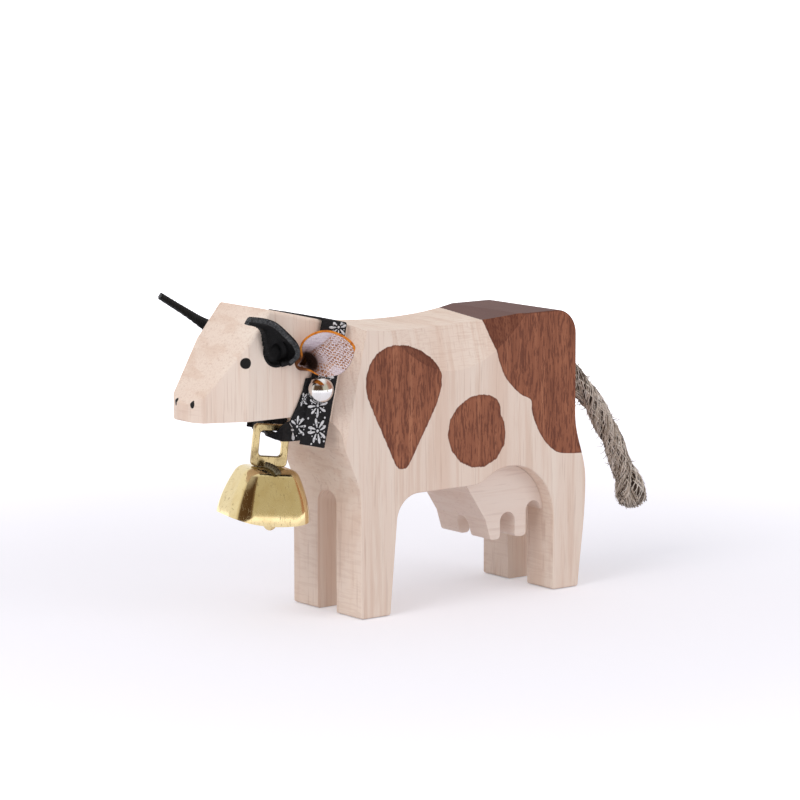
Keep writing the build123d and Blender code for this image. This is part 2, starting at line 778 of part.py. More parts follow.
# Bell shell: thin brass, hollow, with a bowed rim and a hole for the clapper's wire
shell_outside = bell_body(0, 0)
shell_inside = bell_body(shell_wall, overrun)
with BuildPart() as bell_shell:
    add(shell_outside)
    add(shell_inside, mode=Mode.SUBTRACT)
    with BuildSketch(bell_front.offset(-shell_depth)):
        with Locations((0, rim_bow_radius - rim_drop)):
            Rectangle(2 * shell_width, 2 * (rim_bow_radius + overrun))
            Circle(rim_bow_radius, mode=Mode.SUBTRACT)
    extrude(amount=2 * shell_depth, mode=Mode.SUBTRACT)
    with BuildSketch(bell_level(crown_drop)):
        with Locations((hanger_across, -hanger_forward)):
            Circle(hanger_wire / 2 + hanger_clearance)
    extrude(amount=shell_shoulder, both=True, mode=Mode.SUBTRACT)
bell_shell.part.label = "bell_shell"
export_step(bell_shell.part, "parts/bell_shell.step")

# Hanger wire of the clapper: its eye inside, its stem and its end bent down over the shoulder
hanger_yaw = radians(hanger_turn)
hanger_way = bell_wide * sin(hanger_yaw) + bell_normal * cos(hanger_yaw)
hanger_plane = Plane(origin=hanger_top, x_dir=hanger_way, z_dir=hanger_way.cross(bell_up))
eye_top = hanger_depth - 2 * hanger_eye
bend_out = radians(180 - hanger_bend_turn)
bend_half = radians(180 - hanger_bend_turn / 2)
bend_end = (hanger_bend * (1 + cos(bend_out)), hanger_bend * sin(bend_out) - hanger_sink)
with BuildPart() as bell_hanger:
    with BuildLine(hanger_plane):
        Line((0, -eye_top), (0, -hanger_sink))
        ThreePointArc(
            (0, -hanger_sink),
            (hanger_bend * (1 + cos(bend_half)), hanger_bend * sin(bend_half) - hanger_sink),
            bend_end,
        )
        Line(
            bend_end,
            (bend_end[0] + hanger_end * sin(bend_out), bend_end[1] - hanger_end * cos(bend_out)),
        )
    with BuildSketch(Plane(origin=hanger_top - bell_up * eye_top, z_dir=bell_up)):
        Circle(hanger_wire / 2)
    sweep()
    with Locations(Plane(origin=clapper_pivot + bell_up * hanger_eye, z_dir=bell_wide)):
        Torus(hanger_eye, hanger_wire / 2)
bell_hanger.part.label = "bell_hanger"
export_step(bell_hanger.part, "parts/bell_hanger.step")

# Clapper: a wire eye round the foot of the hanger's eye, a stem and a ball
eye_centre = clapper_pivot - Vector(0, 0, clapper_eye - hanger_wire / 2 - clapper_play)
eye_ring = clapper_eye + clapper_wire / 2
ball_centre = clapper_pivot - Vector(0, 0, clapper_length - clapper_ball / 2)
with BuildPart() as clapper:
    with Locations(Plane(origin=eye_centre, x_dir=bell_across, z_dir=bell_normal)):
        Torus(eye_ring, clapper_wire / 2)
    with BuildSketch(Plane(origin=ball_centre, z_dir=(0, 0, 1))):
        Circle(clapper_stem / 2)
    extrude(amount=eye_centre.Z - eye_ring - ball_centre.Z)
    with Locations(ball_centre):
        Sphere(clapper_ball / 2)
clapper.part.label = "clapper"
export_step(clapper.part, "parts/clapper.step")

for piece in (
    cow_body,
    udder,
    ear_left,
    ear_right,
    tail_rope,
    collar_ribbon,
    collar_nail,
    bell_bail,
    bell_shell,
    bell_hanger,
    clapper,
):
    box = piece.part.bounding_box()
    print(piece.part.label, len(piece.solids()), round(piece.part.volume, 1), box.min, box.max)
for hinge, place, way in (
    ("bell", bell_pivot, bell_wide),
    ("clapper", clapper_pivot, bell_normal),
):
    print(hinge, place, way)
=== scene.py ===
"""Dresses the cow figurine: camera, rope tail, materials, soft pieces, floor and light."""
import random
from math import cos, pi, radians, sin, sqrt

import bmesh
import bpy
from mathutils import Matrix, Vector
from mathutils.bvhtree import BVHTree


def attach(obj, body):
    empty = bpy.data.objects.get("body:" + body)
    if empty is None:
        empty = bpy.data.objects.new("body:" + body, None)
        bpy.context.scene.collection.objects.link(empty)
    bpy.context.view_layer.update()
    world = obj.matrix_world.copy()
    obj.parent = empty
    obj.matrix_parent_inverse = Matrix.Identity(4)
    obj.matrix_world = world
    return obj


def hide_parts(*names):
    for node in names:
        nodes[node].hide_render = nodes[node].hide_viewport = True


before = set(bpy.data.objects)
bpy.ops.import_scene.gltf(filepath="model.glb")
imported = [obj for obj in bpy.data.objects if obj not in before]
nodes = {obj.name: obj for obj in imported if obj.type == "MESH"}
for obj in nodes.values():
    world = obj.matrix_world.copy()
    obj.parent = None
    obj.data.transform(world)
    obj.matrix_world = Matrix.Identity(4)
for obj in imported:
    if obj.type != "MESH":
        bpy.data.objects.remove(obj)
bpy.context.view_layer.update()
MM = 0.001
FULL_TURN = 2 * pi
X_WAY, Y_WAY, Z_WAY = Vector((1, 0, 0)), Vector((0, 1, 0)), Vector((0, 0, 1))


def new_object(name, data):
    """An object in the scene that shows some data."""
    obj = bpy.data.objects.new(name, data)
    bpy.context.scene.collection.objects.link(obj)
    return obj


# Camera as solved from the photo: its turn, and how far right, up and back of a point it stands
CAMERA_AZIMUTH, CAMERA_ELEVATION = radians(-37.62), radians(8.35)
CAMERA_RIGHT, CAMERA_UP, CAMERA_BACK = 24.72, 69.36, 1151.07
MEASURED_FROM = Vector((-20.25, 0, 0))
camera_data = bpy.data.cameras.new("camera")
camera_data.sensor_width = 36.0
camera_data.lens = 157.5
camera_data.clip_start = 0.05
camera_data.clip_end = 20.0
camera = new_object("camera", camera_data)
view_back = Vector((
    sin(CAMERA_AZIMUTH) * cos(CAMERA_ELEVATION),
    -cos(CAMERA_AZIMUTH) * cos(CAMERA_ELEVATION),
    sin(CAMERA_ELEVATION),
))
view_right = Vector((cos(CAMERA_AZIMUTH), sin(CAMERA_AZIMUTH), 0))
view_up = view_right.cross(-view_back)
camera_place = view_right * CAMERA_RIGHT + view_up * CAMERA_UP + view_back * CAMERA_BACK + MEASURED_FROM
camera.matrix_world = Matrix((
    *((view_right[i], view_up[i], view_back[i], camera_place[i] * MM) for i in range(3)),
    (0, 0, 0, 1),
))
bpy.context.scene.camera = camera


# Meshes and lines
def new_mesh(name, verts, faces):
    """A mesh object from points in metres."""
    mesh = bpy.data.meshes.new(name)
    mesh.from_pydata([tuple(v) for v in verts], [], faces)
    mesh.update()
    for polygon in mesh.polygons:
        polygon.use_smooth = True
    return new_object(name, mesh)


def fix_normals(obj):
    """Turns every face of a closed mesh outward."""
    work = bmesh.new()
    work.from_mesh(obj.data)
    bmesh.ops.recalc_face_normals(work, faces=work.faces)
    work.to_mesh(obj.data)
    work.free()


def ring_faces(base, rings, wide, capped=True):
    """Quads between closed rings of points that start at a base index, and caps on both ends."""
    faces = []
    for i in range(rings - 1):
        low = base + i * wide
        for j in range(wide):
            k = (j + 1) % wide
            faces.append((low + j, low + k, low + wide + k, low + wide + j))
    if capped:
        last = base + (rings - 1) * wide
        faces.append(tuple(base + j for j in reversed(range(wide))))
        faces.append(tuple(last + j for j in range(wide)))
    return faces


def ring_mesh(name, rings, capped=True):
    """A closed mesh through rings of points in metres."""
    verts = [point for ring in rings for point in ring]
    obj = new_mesh(name, verts, ring_faces(0, len(rings), len(rings[0]), capped))
    fix_normals(obj)
    return obj


def sideways(side, third, angle):
    """The way that leads off at an angle between two directions at right angles."""
    return side * cos(angle) + third * sin(angle)


def circle(centre, side, third, radius, count):
    """Points at even angles round a centre."""
    return [centre + sideways(side, third, FULL_TURN * j / count) * radius for j in range(count)]


def frames_along(points):
    """Point, tangent, side and third direction at each point, without twist."""
    out = []
    side = None
    for i, point in enumerate(points):
        before = points[max(i - 1, 0)]
        after = points[min(i + 1, len(points) - 1)]
        tangent = (after - before).normalized()
        if side is None:
            side = Y_WAY if abs(tangent.y) < 0.9 else X_WAY
        side = (side - tangent * side.dot(tangent)).normalized()
        out.append((point, tangent, side, tangent.cross(side)))
    return out


def evenly(points, count):
    """Points at even distances along a line, from its start to its end."""
    total = [0.0]
    for a, b in zip(points, points[1:]):
        total.append(total[-1] + (b - a).length)
    last = len(points) - 2
    out = []
    for step in range(count + 1):
        want = step / count * total[-1]
        i = next((i for i in range(last) if total[i + 1] >= want), last)
        part = (want - total[i]) / (total[i + 1] - total[i])
        out.append(points[i].lerp(points[i + 1], part))
    return out


def tube(verts, faces, points, radius, sides, taper=1.0):
    """Adds a thin tube along some points to a mesh being gathered."""
    faces.extend(ring_faces(len(verts), len(points), sides))
    for i, (point, _, side, third) in enumerate(frames_along(points)):
        size = radius * (1 - (1 - taper) * i / (len(points) - 1))
        verts.extend(circle(point, side, third, size, sides))


def dress(piece, node, slot, body, *materials):
    """Gives a piece its materials and its body, and hides the CAD node that it replaces; the slot is not
    used.
    """
    for material in materials:
        piece.data.materials.append(material)
    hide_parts(node)
    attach(piece, body)


# Rope tail: three strands along the CAD rope's route, which is in millimetres
ROUTE = (
    (67.8, 0.0, 84.65),
    (79.9, 0.0, 74.5),
    (91.5, -0.5, 63.5),
    (100.6, -1.0, 50.4),
    (108.2, -0.5, 36.3),
    (115.2, 0.6, 22.1),
)
TAIL_STRANDS, TAIL_STEPS, TAIL_SIDES = 3, 120, 48
TAIL_RADIUS, TAIL_LAY = 3.4 * MM, 46 * MM
# Shares of the radius: core and fibres between two strands, and a strand's relief with its power
CORE_BETWEEN, FIBRES_BETWEEN, STRAND_RELIEF, STRAND_ROUND = 0.54, 0.62, 0.42, 0.6
# Shares of the length: where the rope flares, how soon and how far, and where it rounds over
FLARE_START, FLARE_RUN, FLARE_WIDER = 0.80, 0.14, 0.46
ROUND_START, ROUND_LESS = 0.955, 0.22
LAY_FIBRES, TUFT_FIBRES, LOOSE_FIBRES = 1500, 420, 130


def smooth_route(route):
    """Points in metres along a smooth curve past a route in millimetres."""
    curve = bpy.data.curves.new("tail_route", "CURVE")
    curve.dimensions = "3D"
    spline = curve.splines.new("NURBS")
    spline.points.add(len(route) - 1)
    for spline_point, (x, y, z) in zip(spline.points, route):
        spline_point.co = (x * MM, y * MM, z * MM, 1)
    spline.order_u = 3
    spline.use_endpoint_u = True
    spline.resolution_u = 24
    holder = new_object("tail_route", curve)
    bpy.context.view_layer.update()
    mesh = bpy.data.meshes.new_from_object(holder)
    bpy.data.objects.remove(holder)
    return [v.co.copy() for v in mesh.vertices]


tail_path = smooth_route(ROUTE)
tail_length = sum((b - a).length for a, b in zip(tail_path, tail_path[1:]))
tail_twist = FULL_TURN * tail_length / TAIL_LAY
tail_frames = frames_along(evenly(tail_path, TAIL_STEPS))
rng = random.Random(7)


def tail_flare(share):
    """How much wider the rope is near its cut end, which is rounded over."""
    opened = min(1.0, max(0.0, (share - FLARE_START) / FLARE_RUN))
    over = max(0.0, (share - ROUND_START) / (1 - ROUND_START))
    return 1 + FLARE_WIDER * opened ** 2 * (3 - 2 * opened) - ROUND_LESS * over ** 2


def tail_radius(share, angle, between, lift=0.0):
    """Distance from the middle line to the strands' surface, at a share of the length."""
    bulge = abs(sin(TAIL_STRANDS / 2 * (angle - tail_twist * share))) ** STRAND_ROUND
    return TAIL_RADIUS * (between + STRAND_RELIEF * bulge + lift) * tail_flare(share)


tail = ring_mesh("rope_core", [[
    point + sideways(side, third, angle) * tail_radius(i / TAIL_STEPS, angle, CORE_BETWEEN)
    for angle in (FULL_TURN * j / TAIL_SIDES for j in range(TAIL_SIDES))
] for i, (point, _, side, third) in enumerate(tail_frames)])
fibre_verts, fibre_faces, fibre_tones = [], [], []


def fibre(points, radius, taper, sides=4):
    """One fibre, in a tone of its own: pale, middle or dark, a spread that is partly painted highlight and
    shade.
    """
    tube(fibre_verts, fibre_faces, points, radius * MM, sides, taper)
    tone = rng.choice((0, 0, 1, 1, 2))
    fibre_tones.extend([tone] * (len(fibre_faces) - len(fibre_tones)))


def lay_fibre():
    """A fibre that lies on the strands, mostly along them, and lifts off towards its end."""
    start = rng.uniform(-0.02, 0.97)
    stop = min(start + rng.uniform(0.05, 0.17), 0.99)
    start = max(start, 0.02)
    if stop - start < 0.03:
        return
    first_angle = rng.uniform(0, FULL_TURN)
    lay = rng.choice((1.0, 1.0, 1.4, 2.2, -0.4))
    lift = rng.uniform(-0.04, 0.20)
    count = max(5, int((stop - start) * 70))
    points = []
    for i in range(count + 1):
        share = start + (stop - start) * i / count
        index = int(share * TAIL_STEPS)
        point, tangent, side, third = tail_frames[index]
        further = (share * TAIL_STEPS - index) * tail_length / TAIL_STEPS
        angle = first_angle + tail_twist * (start + lay * (share - start))
        radius = tail_radius(share, angle, FIBRES_BETWEEN, lift * (i / count) ** 2)
        points.append(point + tangent * further + sideways(side, third, angle) * radius)
    fibre(points, rng.uniform(0.11, 0.27), 0.5)


def tuft_fibre():
    """A fibre of the cut end, which spreads to a dome and hooks back."""
    angle = rng.uniform(0, FULL_TURN)
    reach = sqrt(rng.uniform(0, 1))
    point, tangent, side, third = tail_frames[-1]
    out = sideways(side, third, angle)
    foot = tail_frames[-12][0] + out * TAIL_RADIUS * reach
    dome = 1.6 * sqrt(1 - reach * reach * 0.98) - 0.9 + rng.uniform(-0.8, 0.7)
    tip = point + out * TAIL_RADIUS * reach * rng.uniform(1.25, 1.55) + tangent * dome * MM
    tip += sideways(side, third, angle + pi / 2) * rng.uniform(-1.3, 1.3) * MM
    middle = foot.lerp(tip, 0.6) + out * rng.uniform(0.0, 0.9) * MM * reach
    hook = tip + out * rng.uniform(-0.3, 0.5) * MM - tangent * rng.uniform(0.2, 1.0) * MM * reach
    fibre([foot, middle, tip, hook], rng.uniform(0.14, 0.28), 0.6)


def loose_fibre():
    """A fibre that stands off the rope."""
    share = rng.uniform(0.16, 0.97)
    point, tangent, side, third = tail_frames[int(share * TAIL_STEPS)]
    out = sideways(side, third, rng.uniform(0, FULL_TURN))
    foot = point + out * TAIL_RADIUS * 0.9
    tip = foot + out * rng.uniform(0.8, 3.0) * MM + tangent * rng.uniform(-1.2, 2.4) * MM
    fibre([foot, foot.lerp(tip, 0.5) + tangent * 0.6 * MM, tip], 0.16, 0.5, sides=3)


for grow, number in ((lay_fibre, LAY_FIBRES), (tuft_fibre, TUFT_FIBRES), (loose_fibre, LOOSE_FIBRES)):
    for _ in range(number):
        grow()
tail_fibres = new_mesh("rope_fibres", fibre_verts, fibre_faces)
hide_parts("tail_rope")
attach(tail, "cow")
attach(tail_fibres, "cow")


# Materials
def srgb(red, green, blue):
    """A colour given as 0 to 255 levels, as the linear values that the shader takes."""
    def linear(level):
        share = level / 255
        return share / 12.92 if share <= 0.04045 else ((share + 0.055) / 1.055) ** 2.4
    return (linear(red), linear(green), linear(blue), 1.0)


class Nodes:
    """Builds a node tree in short calls."""

    def __init__(self, tree):
        self.tree = tree
        self.tree.nodes.clear()

    def add(self, kind, inputs=None, **props):
        """A node with some properties set and some of its sockets fed."""
        node = self.tree.nodes.new(kind)
        for key, value in props.items():
            setattr(node, key, value)
        for key, value in (inputs or {}).items():
            self.feed(node.inputs[key], value)
        return node

    def feed(self, socket, value):
        """Links a socket to another or to a node's first output, or sets its value."""
        if isinstance(value, bpy.types.NodeSocket):
            self.tree.links.new(value, socket)
        elif isinstance(value, bpy.types.Node):
            self.tree.links.new(value.outputs[0], socket)
        else:
            socket.default_value = value

    def math(self, operation, *values):
        return self.add("ShaderNodeMath", dict(enumerate(values)), operation=operation).outputs[0]

    def plus(self, a, b):
        return self.math("ADD", a, b)

    def minus(self, a, b):
        return self.math("SUBTRACT", a, b)

    def times(self, a, b):
        return self.math("MULTIPLY", a, b)

    def times_plus(self, a, factor, more):
        return self.math("MULTIPLY_ADD", a, factor, more)

    def absolute(self, value):
        return self.math("ABSOLUTE", value)

    def larger(self, a, b):
        return self.math("MAXIMUM", a, b)

    def hypot(self, a, b):
        """Distance made up of two distances at right angles."""
        return self.math("SQRT", self.times_plus(a, a, self.times(b, b)))

    def length(self, vector):
        return self.add("ShaderNodeVectorMath", {0: vector}, operation="LENGTH").outputs["Value"]

    def from_centre(self, place, centre):
        """The way to a place from a centre in millimetres."""
        centre = tuple(c * MM for c in centre)
        return self.add("ShaderNodeVectorMath", {0: place, 1: centre}, operation="SUBTRACT").outputs[0]

    def coordinates(self, kind="Object"):
        return self.add("ShaderNodeTexCoord").outputs[kind]

    def split(self, vector):
        return self.add("ShaderNodeSeparateXYZ", {"Vector": vector}).outputs

    def scaled(self, vector, scale, move=(0, 0, 0)):
        return self.add("ShaderNodeMapping", {"Vector": vector, "Scale": scale, "Location": move}).outputs[0]

    def noise(self, place, scale, detail=2.0, rough=0.5, distortion=0.0, move=(0, 0, 0)):
        """Noise at one scale, or at a scale of its own along each axis."""
        if not isinstance(scale, tuple):
            scale = (scale, scale, scale)
        return self.add("ShaderNodeTexNoise", {
            "Vector": self.scaled(place, scale, move),
            "Scale": 1.0, "Detail": detail, "Roughness": rough, "Distortion": distortion,
        }).outputs[0]

    def ramp(self, value, *stops):
        """Colours at stops, given as levels, with eased steps between them."""
        node = self.add("ShaderNodeValToRGB", {"Fac": value})
        elements = node.color_ramp.elements
        node.color_ramp.interpolation = "EASE"
        while len(elements) < len(stops):
            elements.new(0.5)
        for element, (position, colour) in zip(elements, stops):
            element.position = position
            element.color = srgb(*colour)
        return node.outputs[0]

    def curve(self, value, points):
        """A smooth curve through points whose places and values run from 0 to 1."""
        node = self.add("ShaderNodeFloatCurve", {"Factor": 1.0, "Value": value})
        knots = node.mapping.curves[0].points
        while len(knots) < len(points):
            knots.new(0.5, 0.5)
        for knot, place in zip(knots, points):
            knot.location = place
            knot.handle_type = "AUTO"
        node.mapping.update()
        return node.outputs[0]

    def step(self, value, low, high):
        """0 at a low value and 1 at a high one, with a smooth step between."""
        return self.add(
            "ShaderNodeMapRange",
            {"Value": value, "From Min": low, "From Max": high},
            interpolation_type="SMOOTHSTEP",
        ).outputs[0]

    def mix(self, factor, a, b):
        return self.add("ShaderNodeMix", {0: factor, 6: a, 7: b}, data_type="RGBA").outputs[2]

    def tint(self, colour, other, mask, amount):
        """A colour that turns to another, given as levels, by an amount where the mask is 1."""
        return self.mix(self.times(mask, amount), colour, srgb(*other))

    def seen(self):
        """1 for what is seen straight, in gloss or through glass, and 0 for plain light."""
        path = self.add("ShaderNodeLightPath").outputs
        mirrored = self.larger(path["Is Glossy Ray"], path["Is Transmission Ray"])
        return self.larger(path["Is Camera Ray"], mirrored)


class Surface(Nodes):
    """A material's node tree round one main shader."""

    def __init__(self, name):
        self.material = bpy.data.materials.new(name)
        self.material.use_nodes = True
        super().__init__(self.material.node_tree)
        self.shader = self.add("ShaderNodeBsdfPrincipled")
        self.output = self.add("ShaderNodeOutputMaterial", {0: self.shader})

    def bump(self, height, strength, distance):
        node = self.add("ShaderNodeBump", {"Height": height, "Strength": strength, "Distance": distance})
        self.feed(self.shader.inputs["Normal"], node)

    def set(self, **values):
        names = {
            "colour": "Base Color", "rough": "Roughness", "metal": "Metallic",
            "specular": "Specular IOR Level", "sheen": "Sheen Weight",
        }
        for key, value in values.items():
            self.feed(self.shader.inputs[names[key]], value)


# Outlines of the stained patches, seen from the side, in millimetres along X and Z
SHOULDER_CENTRE = (-2.0, 66.0)
SHOULDER = (
    (-5.4, 88.9), (-9.4, 88.4), (-12.8, 86.7), (-15.6, 83.8), (-17.2, 80.0), (-17.4, 76.0), (-16.6, 72.4),
    (-14.8, 68.4), (-12.6, 64.0), (-9.6, 58.2), (-7.0, 52.9), (-5.4, 49.7), (-4.2, 48.3), (-2.6, 47.7),
    (-1.0, 48.1), (0.3, 49.3), (2.0, 52.0), (5.6, 58.0), (9.2, 63.8), (12.0, 69.0), (13.7, 73.8),
    (13.8, 77.6), (12.4, 80.8), (9.6, 83.8), (5.4, 86.4), (0.4, 88.2),
)
FLANK_CENTRE = (28.4, 57.4)
FLANK = (
    (30.6, 69.6), (25.6, 69.2), (20.4, 66.2), (17.2, 62.3), (16.3, 57.4), (17.8, 52.2), (21.4, 47.9),
    (26.6, 45.5), (32.0, 45.3), (37.0, 47.5), (40.2, 51.7), (40.8, 56.1), (40.2, 59.6), (38.7, 62.2),
    (38.6, 64.7), (37.3, 67.3), (34.4, 68.9),
)
OUTLINE_SAMPLES = 120
# Front edge of the stain on the rump, from its foot up, on the near side at SIDE_Y
RUMP = (
    (76.5, 45.7), (68.2, 46.2), (63.8, 47.0), (59.8, 49.5), (56.2, 53.6), (53.6, 58.2), (52.2, 62.4),
    (51.6, 65.9), (47.8, 67.9), (44.0, 70.9), (40.5, 74.9), (38.4, 79.1), (37.0, 83.2), (35.2, 87.4),
    (33.2, 92.5), (30.8, 96.4), (27.4, 103.7),
)
RUMP_LOW, RUMP_SPAN = RUMP[0][1], RUMP[-1][1] - RUMP[0][1]
RUMP_FRONT, RUMP_REACH = 20.0, 60.0
# How far that edge moves back for each millimetre towards the far side
RUMP_SLANT, SIDE_Y = 0.24, 18.8
STAIN_BLEED, STAIN_BLUR = 0.9 * MM, 0.14 * MM
# The patches on the sides end this far from the middle plane, short of back and belly
SIDE_FROM, SIDE_BLUR = 11.6, 0.4
BLACK = srgb(12, 9, 8)
# Painted eyes and nostrils: place and half sizes
MARKS = (
    ((-61.05, -13.8, 87.0), (1.75, 3.0, 1.75)),
    ((-61.05, 13.8, 87.0), (1.75, 3.0, 1.75)),
    ((-75.70, -4.85, 74.30), (1.15, 0.85, 1.45)),
    ((-75.80, 3.90, 74.30), (1.15, 0.80, 1.45)),
)


def outline_radii(points, centre, count):
    """Distances from a centre to an outline at even angles, counted from the -X side."""
    radii = []
    for i in range(count):
        turn = FULL_TURN * i / count - pi
        way = Vector((cos(turn), sin(turn)))
        best = 0.0
        for first, second in zip(points, points[1:] + points[:1]):
            start = Vector(first) - Vector(centre)
            run = Vector(second) - Vector(first)
            cross = way.cross(run)
            if abs(cross) > 1e-9 and -1e-6 <= start.cross(way) / cross <= 1 + 1e-6:
                best = max(best, start.cross(run) / cross)
        radii.append(best)
    return radii


def polar_field(n, x, z, outline, centre):
    """Distance in metres by which a point lies inside an outline that is seen from the side."""
    across = n.minus(x, centre[0] * MM)
    over = n.minus(z, centre[1] * MM)
    turn = n.times_plus(n.math("ARCTAN2", over, across), 1 / FULL_TURN, 0.5)
    radii = outline_radii(outline, centre, OUTLINE_SAMPLES)
    reach = max(radii) * 1.1
    shares = [(i / OUTLINE_SAMPLES, radius / reach) for i, radius in enumerate(radii + radii[:1])]
    edge_at = n.times(n.curve(turn, shares), reach * MM)
    return n.minus(edge_at, n.hypot(across, over))


def rump_field(n, x, y, z):
    """Distance in metres by which a point lies behind the stain's front edge on the rump."""
    knots = [((rise - RUMP_LOW) / RUMP_SPAN, (back - RUMP_FRONT) / RUMP_REACH) for back, rise in RUMP]
    above = n.minus(z, RUMP_LOW * MM)
    edge_share = n.curve(n.times(above, 1 / (RUMP_SPAN * MM)), knots)
    edge = n.times_plus(edge_share, RUMP_REACH * MM, RUMP_FRONT * MM)
    slant = n.times(n.plus(y, SIDE_Y * MM), RUMP_SLANT)
    return n.math("MINIMUM", n.minus(x, n.plus(edge, slant)), above)


def stain(n, colour, place, grain, normal_z):
    """Brown stain over pale wood, darker at its rim, on the sanded hollow and on the back."""
    x, y, z = n.split(place)
    feather = n.noise(place, (900, 900, 240), 3.0, 0.6)
    bleed = n.times(n.minus(feather, 0.5), STAIN_BLEED)
    shoulder = polar_field(n, x, z, SHOULDER, SHOULDER_CENTRE)
    sides = n.larger(shoulder, polar_field(n, x, z, FLANK, FLANK_CENTRE))
    rump = rump_field(n, x, y, z)
    off_middle = n.step(n.absolute(y), SIDE_FROM * MM, (SIDE_FROM + SIDE_BLUR) * MM)
    side_mask = n.times(n.step(n.plus(sides, bleed), -STAIN_BLUR, STAIN_BLUR), off_middle)
    patches = n.larger(side_mask, n.step(n.plus(rump, bleed), -STAIN_BLUR, STAIN_BLUR))
    rim = n.step(n.larger(sides, rump), 1.1 * MM, 0.1 * MM)
    dashes = n.noise(place, (2100, 2100, 260), 3.0, 0.6)
    cloud = n.noise(place, (90, 90, 60))
    dark = n.ramp(grain, (0.32, (130, 76, 52)), (0.52, (158, 98, 70)), (0.70, (182, 120, 88)))
    dark = n.tint(dark, (132, 78, 56), n.step(cloud, 0.40, 0.66), 0.35)
    dark = n.tint(dark, (92, 46, 32), n.step(dashes, 0.50, 0.56), 0.66)
    dark = n.tint(dark, (88, 44, 32), rim, 0.40)
    dark = n.tint(dark, (84, 42, 30), n.step(normal_z, 0.07, 0.13), 0.45)
    dark = n.tint(dark, (92, 62, 58), n.step(normal_z, 0.55, 0.90), 0.75)
    return n.mix(patches, colour, dark)


def painted_marks(n, colour, place):
    """Eyes and nostrils in black paint."""
    for centre, half_sizes in MARKS:
        sized = n.scaled(n.from_centre(place, centre), tuple(1 / (half * MM) for half in half_sizes))
        colour = n.mix(n.step(n.length(sized), 1.08, 0.94), colour, BLACK)
    return colour


def wood(name, stained, grain_scale, fine_scale, band_scale):
    """Pale sanded wood; the body also takes its stained patches, eyes and nostrils, and the udder's wood is
    lightened instead as painted light.
    """
    n = Surface(name)
    place = n.coordinates()
    normal_x, _, normal_z = n.split(n.coordinates("Normal"))
    grain = n.noise(place, grain_scale, 5.0, 0.62, 0.35)
    fine = n.noise(place, fine_scale)
    bands = n.noise(place, band_scale, 3.0, 0.5, 0.6, (0.3, 0.1, 0.2))
    saw = n.noise(place, (90, 90, 900), 3.0, 0.6, 0.5)
    sawn = n.times(n.step(n.absolute(normal_x), 0.70, 0.95), n.step(saw, 0.48, 0.62))
    strokes = n.noise(place, (110, 1900, 1900), 3.0, 0.6)
    sanded = n.times(n.step(normal_z, 0.06, 0.12), n.step(strokes, 0.50, 0.60))
    colour = n.ramp(bands, (0.30, (244, 228, 212)), (0.52, (240, 220, 203)), (0.74, (233, 208, 189)))
    colour = n.tint(colour, (222, 192, 170), n.step(grain, 0.48, 0.64), 0.50)
    colour = n.tint(colour, (190, 156, 134), n.step(fine, 0.58, 0.70), 0.26)
    colour = n.tint(colour, (196, 162, 140), sawn, 0.16)
    colour = n.tint(colour, (206, 172, 150), sanded, 0.22)
    if stained:
        colour = stain(n, colour, place, grain, normal_z)
        colour = painted_marks(n, colour, place)
    else:
        # The udder sits in shade between the legs, so its wood is mixed a quarter towards near-white:
        # painted light
        colour = n.mix(0.25, colour, srgb(250, 240, 234))
    n.set(colour=colour, rough=0.62, specular=0.30)
    n.bump(n.plus(n.times(grain, 0.6), n.times(fine, 0.4)), 0.25, 0.25 * MM)
    return n.material


def leather(name, dark, middle, light, spread, bumps, darkened_round=None):
    """Grained leather between three tones, darker round a point of either side if one is given."""
    n = Surface(name)
    place = n.coordinates()
    grain = n.noise(place, spread, 4.0, 0.6)
    pores = n.noise(place, spread * 4)
    colour = n.ramp(grain, (0.34, dark), (0.54, middle), (0.76, light))
    # Darker round the given point on either side, the ears' roots
    if darkened_round is not None:
        x, y, z = n.split(place)
        folded = n.add("ShaderNodeCombineXYZ", {"X": x, "Y": n.absolute(y), "Z": z})
        near = n.step(n.length(n.from_centre(folded, darkened_round)), 5.2 * MM, 3.4 * MM)
        colour = n.tint(colour, (72, 42, 26), near, 0.85)
    n.set(colour=colour, rough=0.60, specular=0.25)
    n.bump(n.plus(grain, n.times(pores, 0.5)), bumps, 0.2 * MM)
    return n.material


# Ears: how far they turn from the side view, and the middles of root and mouth
EAR_TURN = radians(50)
EAR_ROOT = Vector((-39.35, 14.2, 85.9))
EAR_MOUTH = Vector((-36.75, 24.2, 89.0))
# The hollow in the lining, seen in the mouth and darkened with painted shade: its middle, slant and half
# sizes
HOLLOW_ALONG, HOLLOW_RISE = -6.6, -2.7
HOLLOW_COS, HOLLOW_SIN = 0.63, 0.77
HOLLOW_SIZES = (3.9, 2.1)


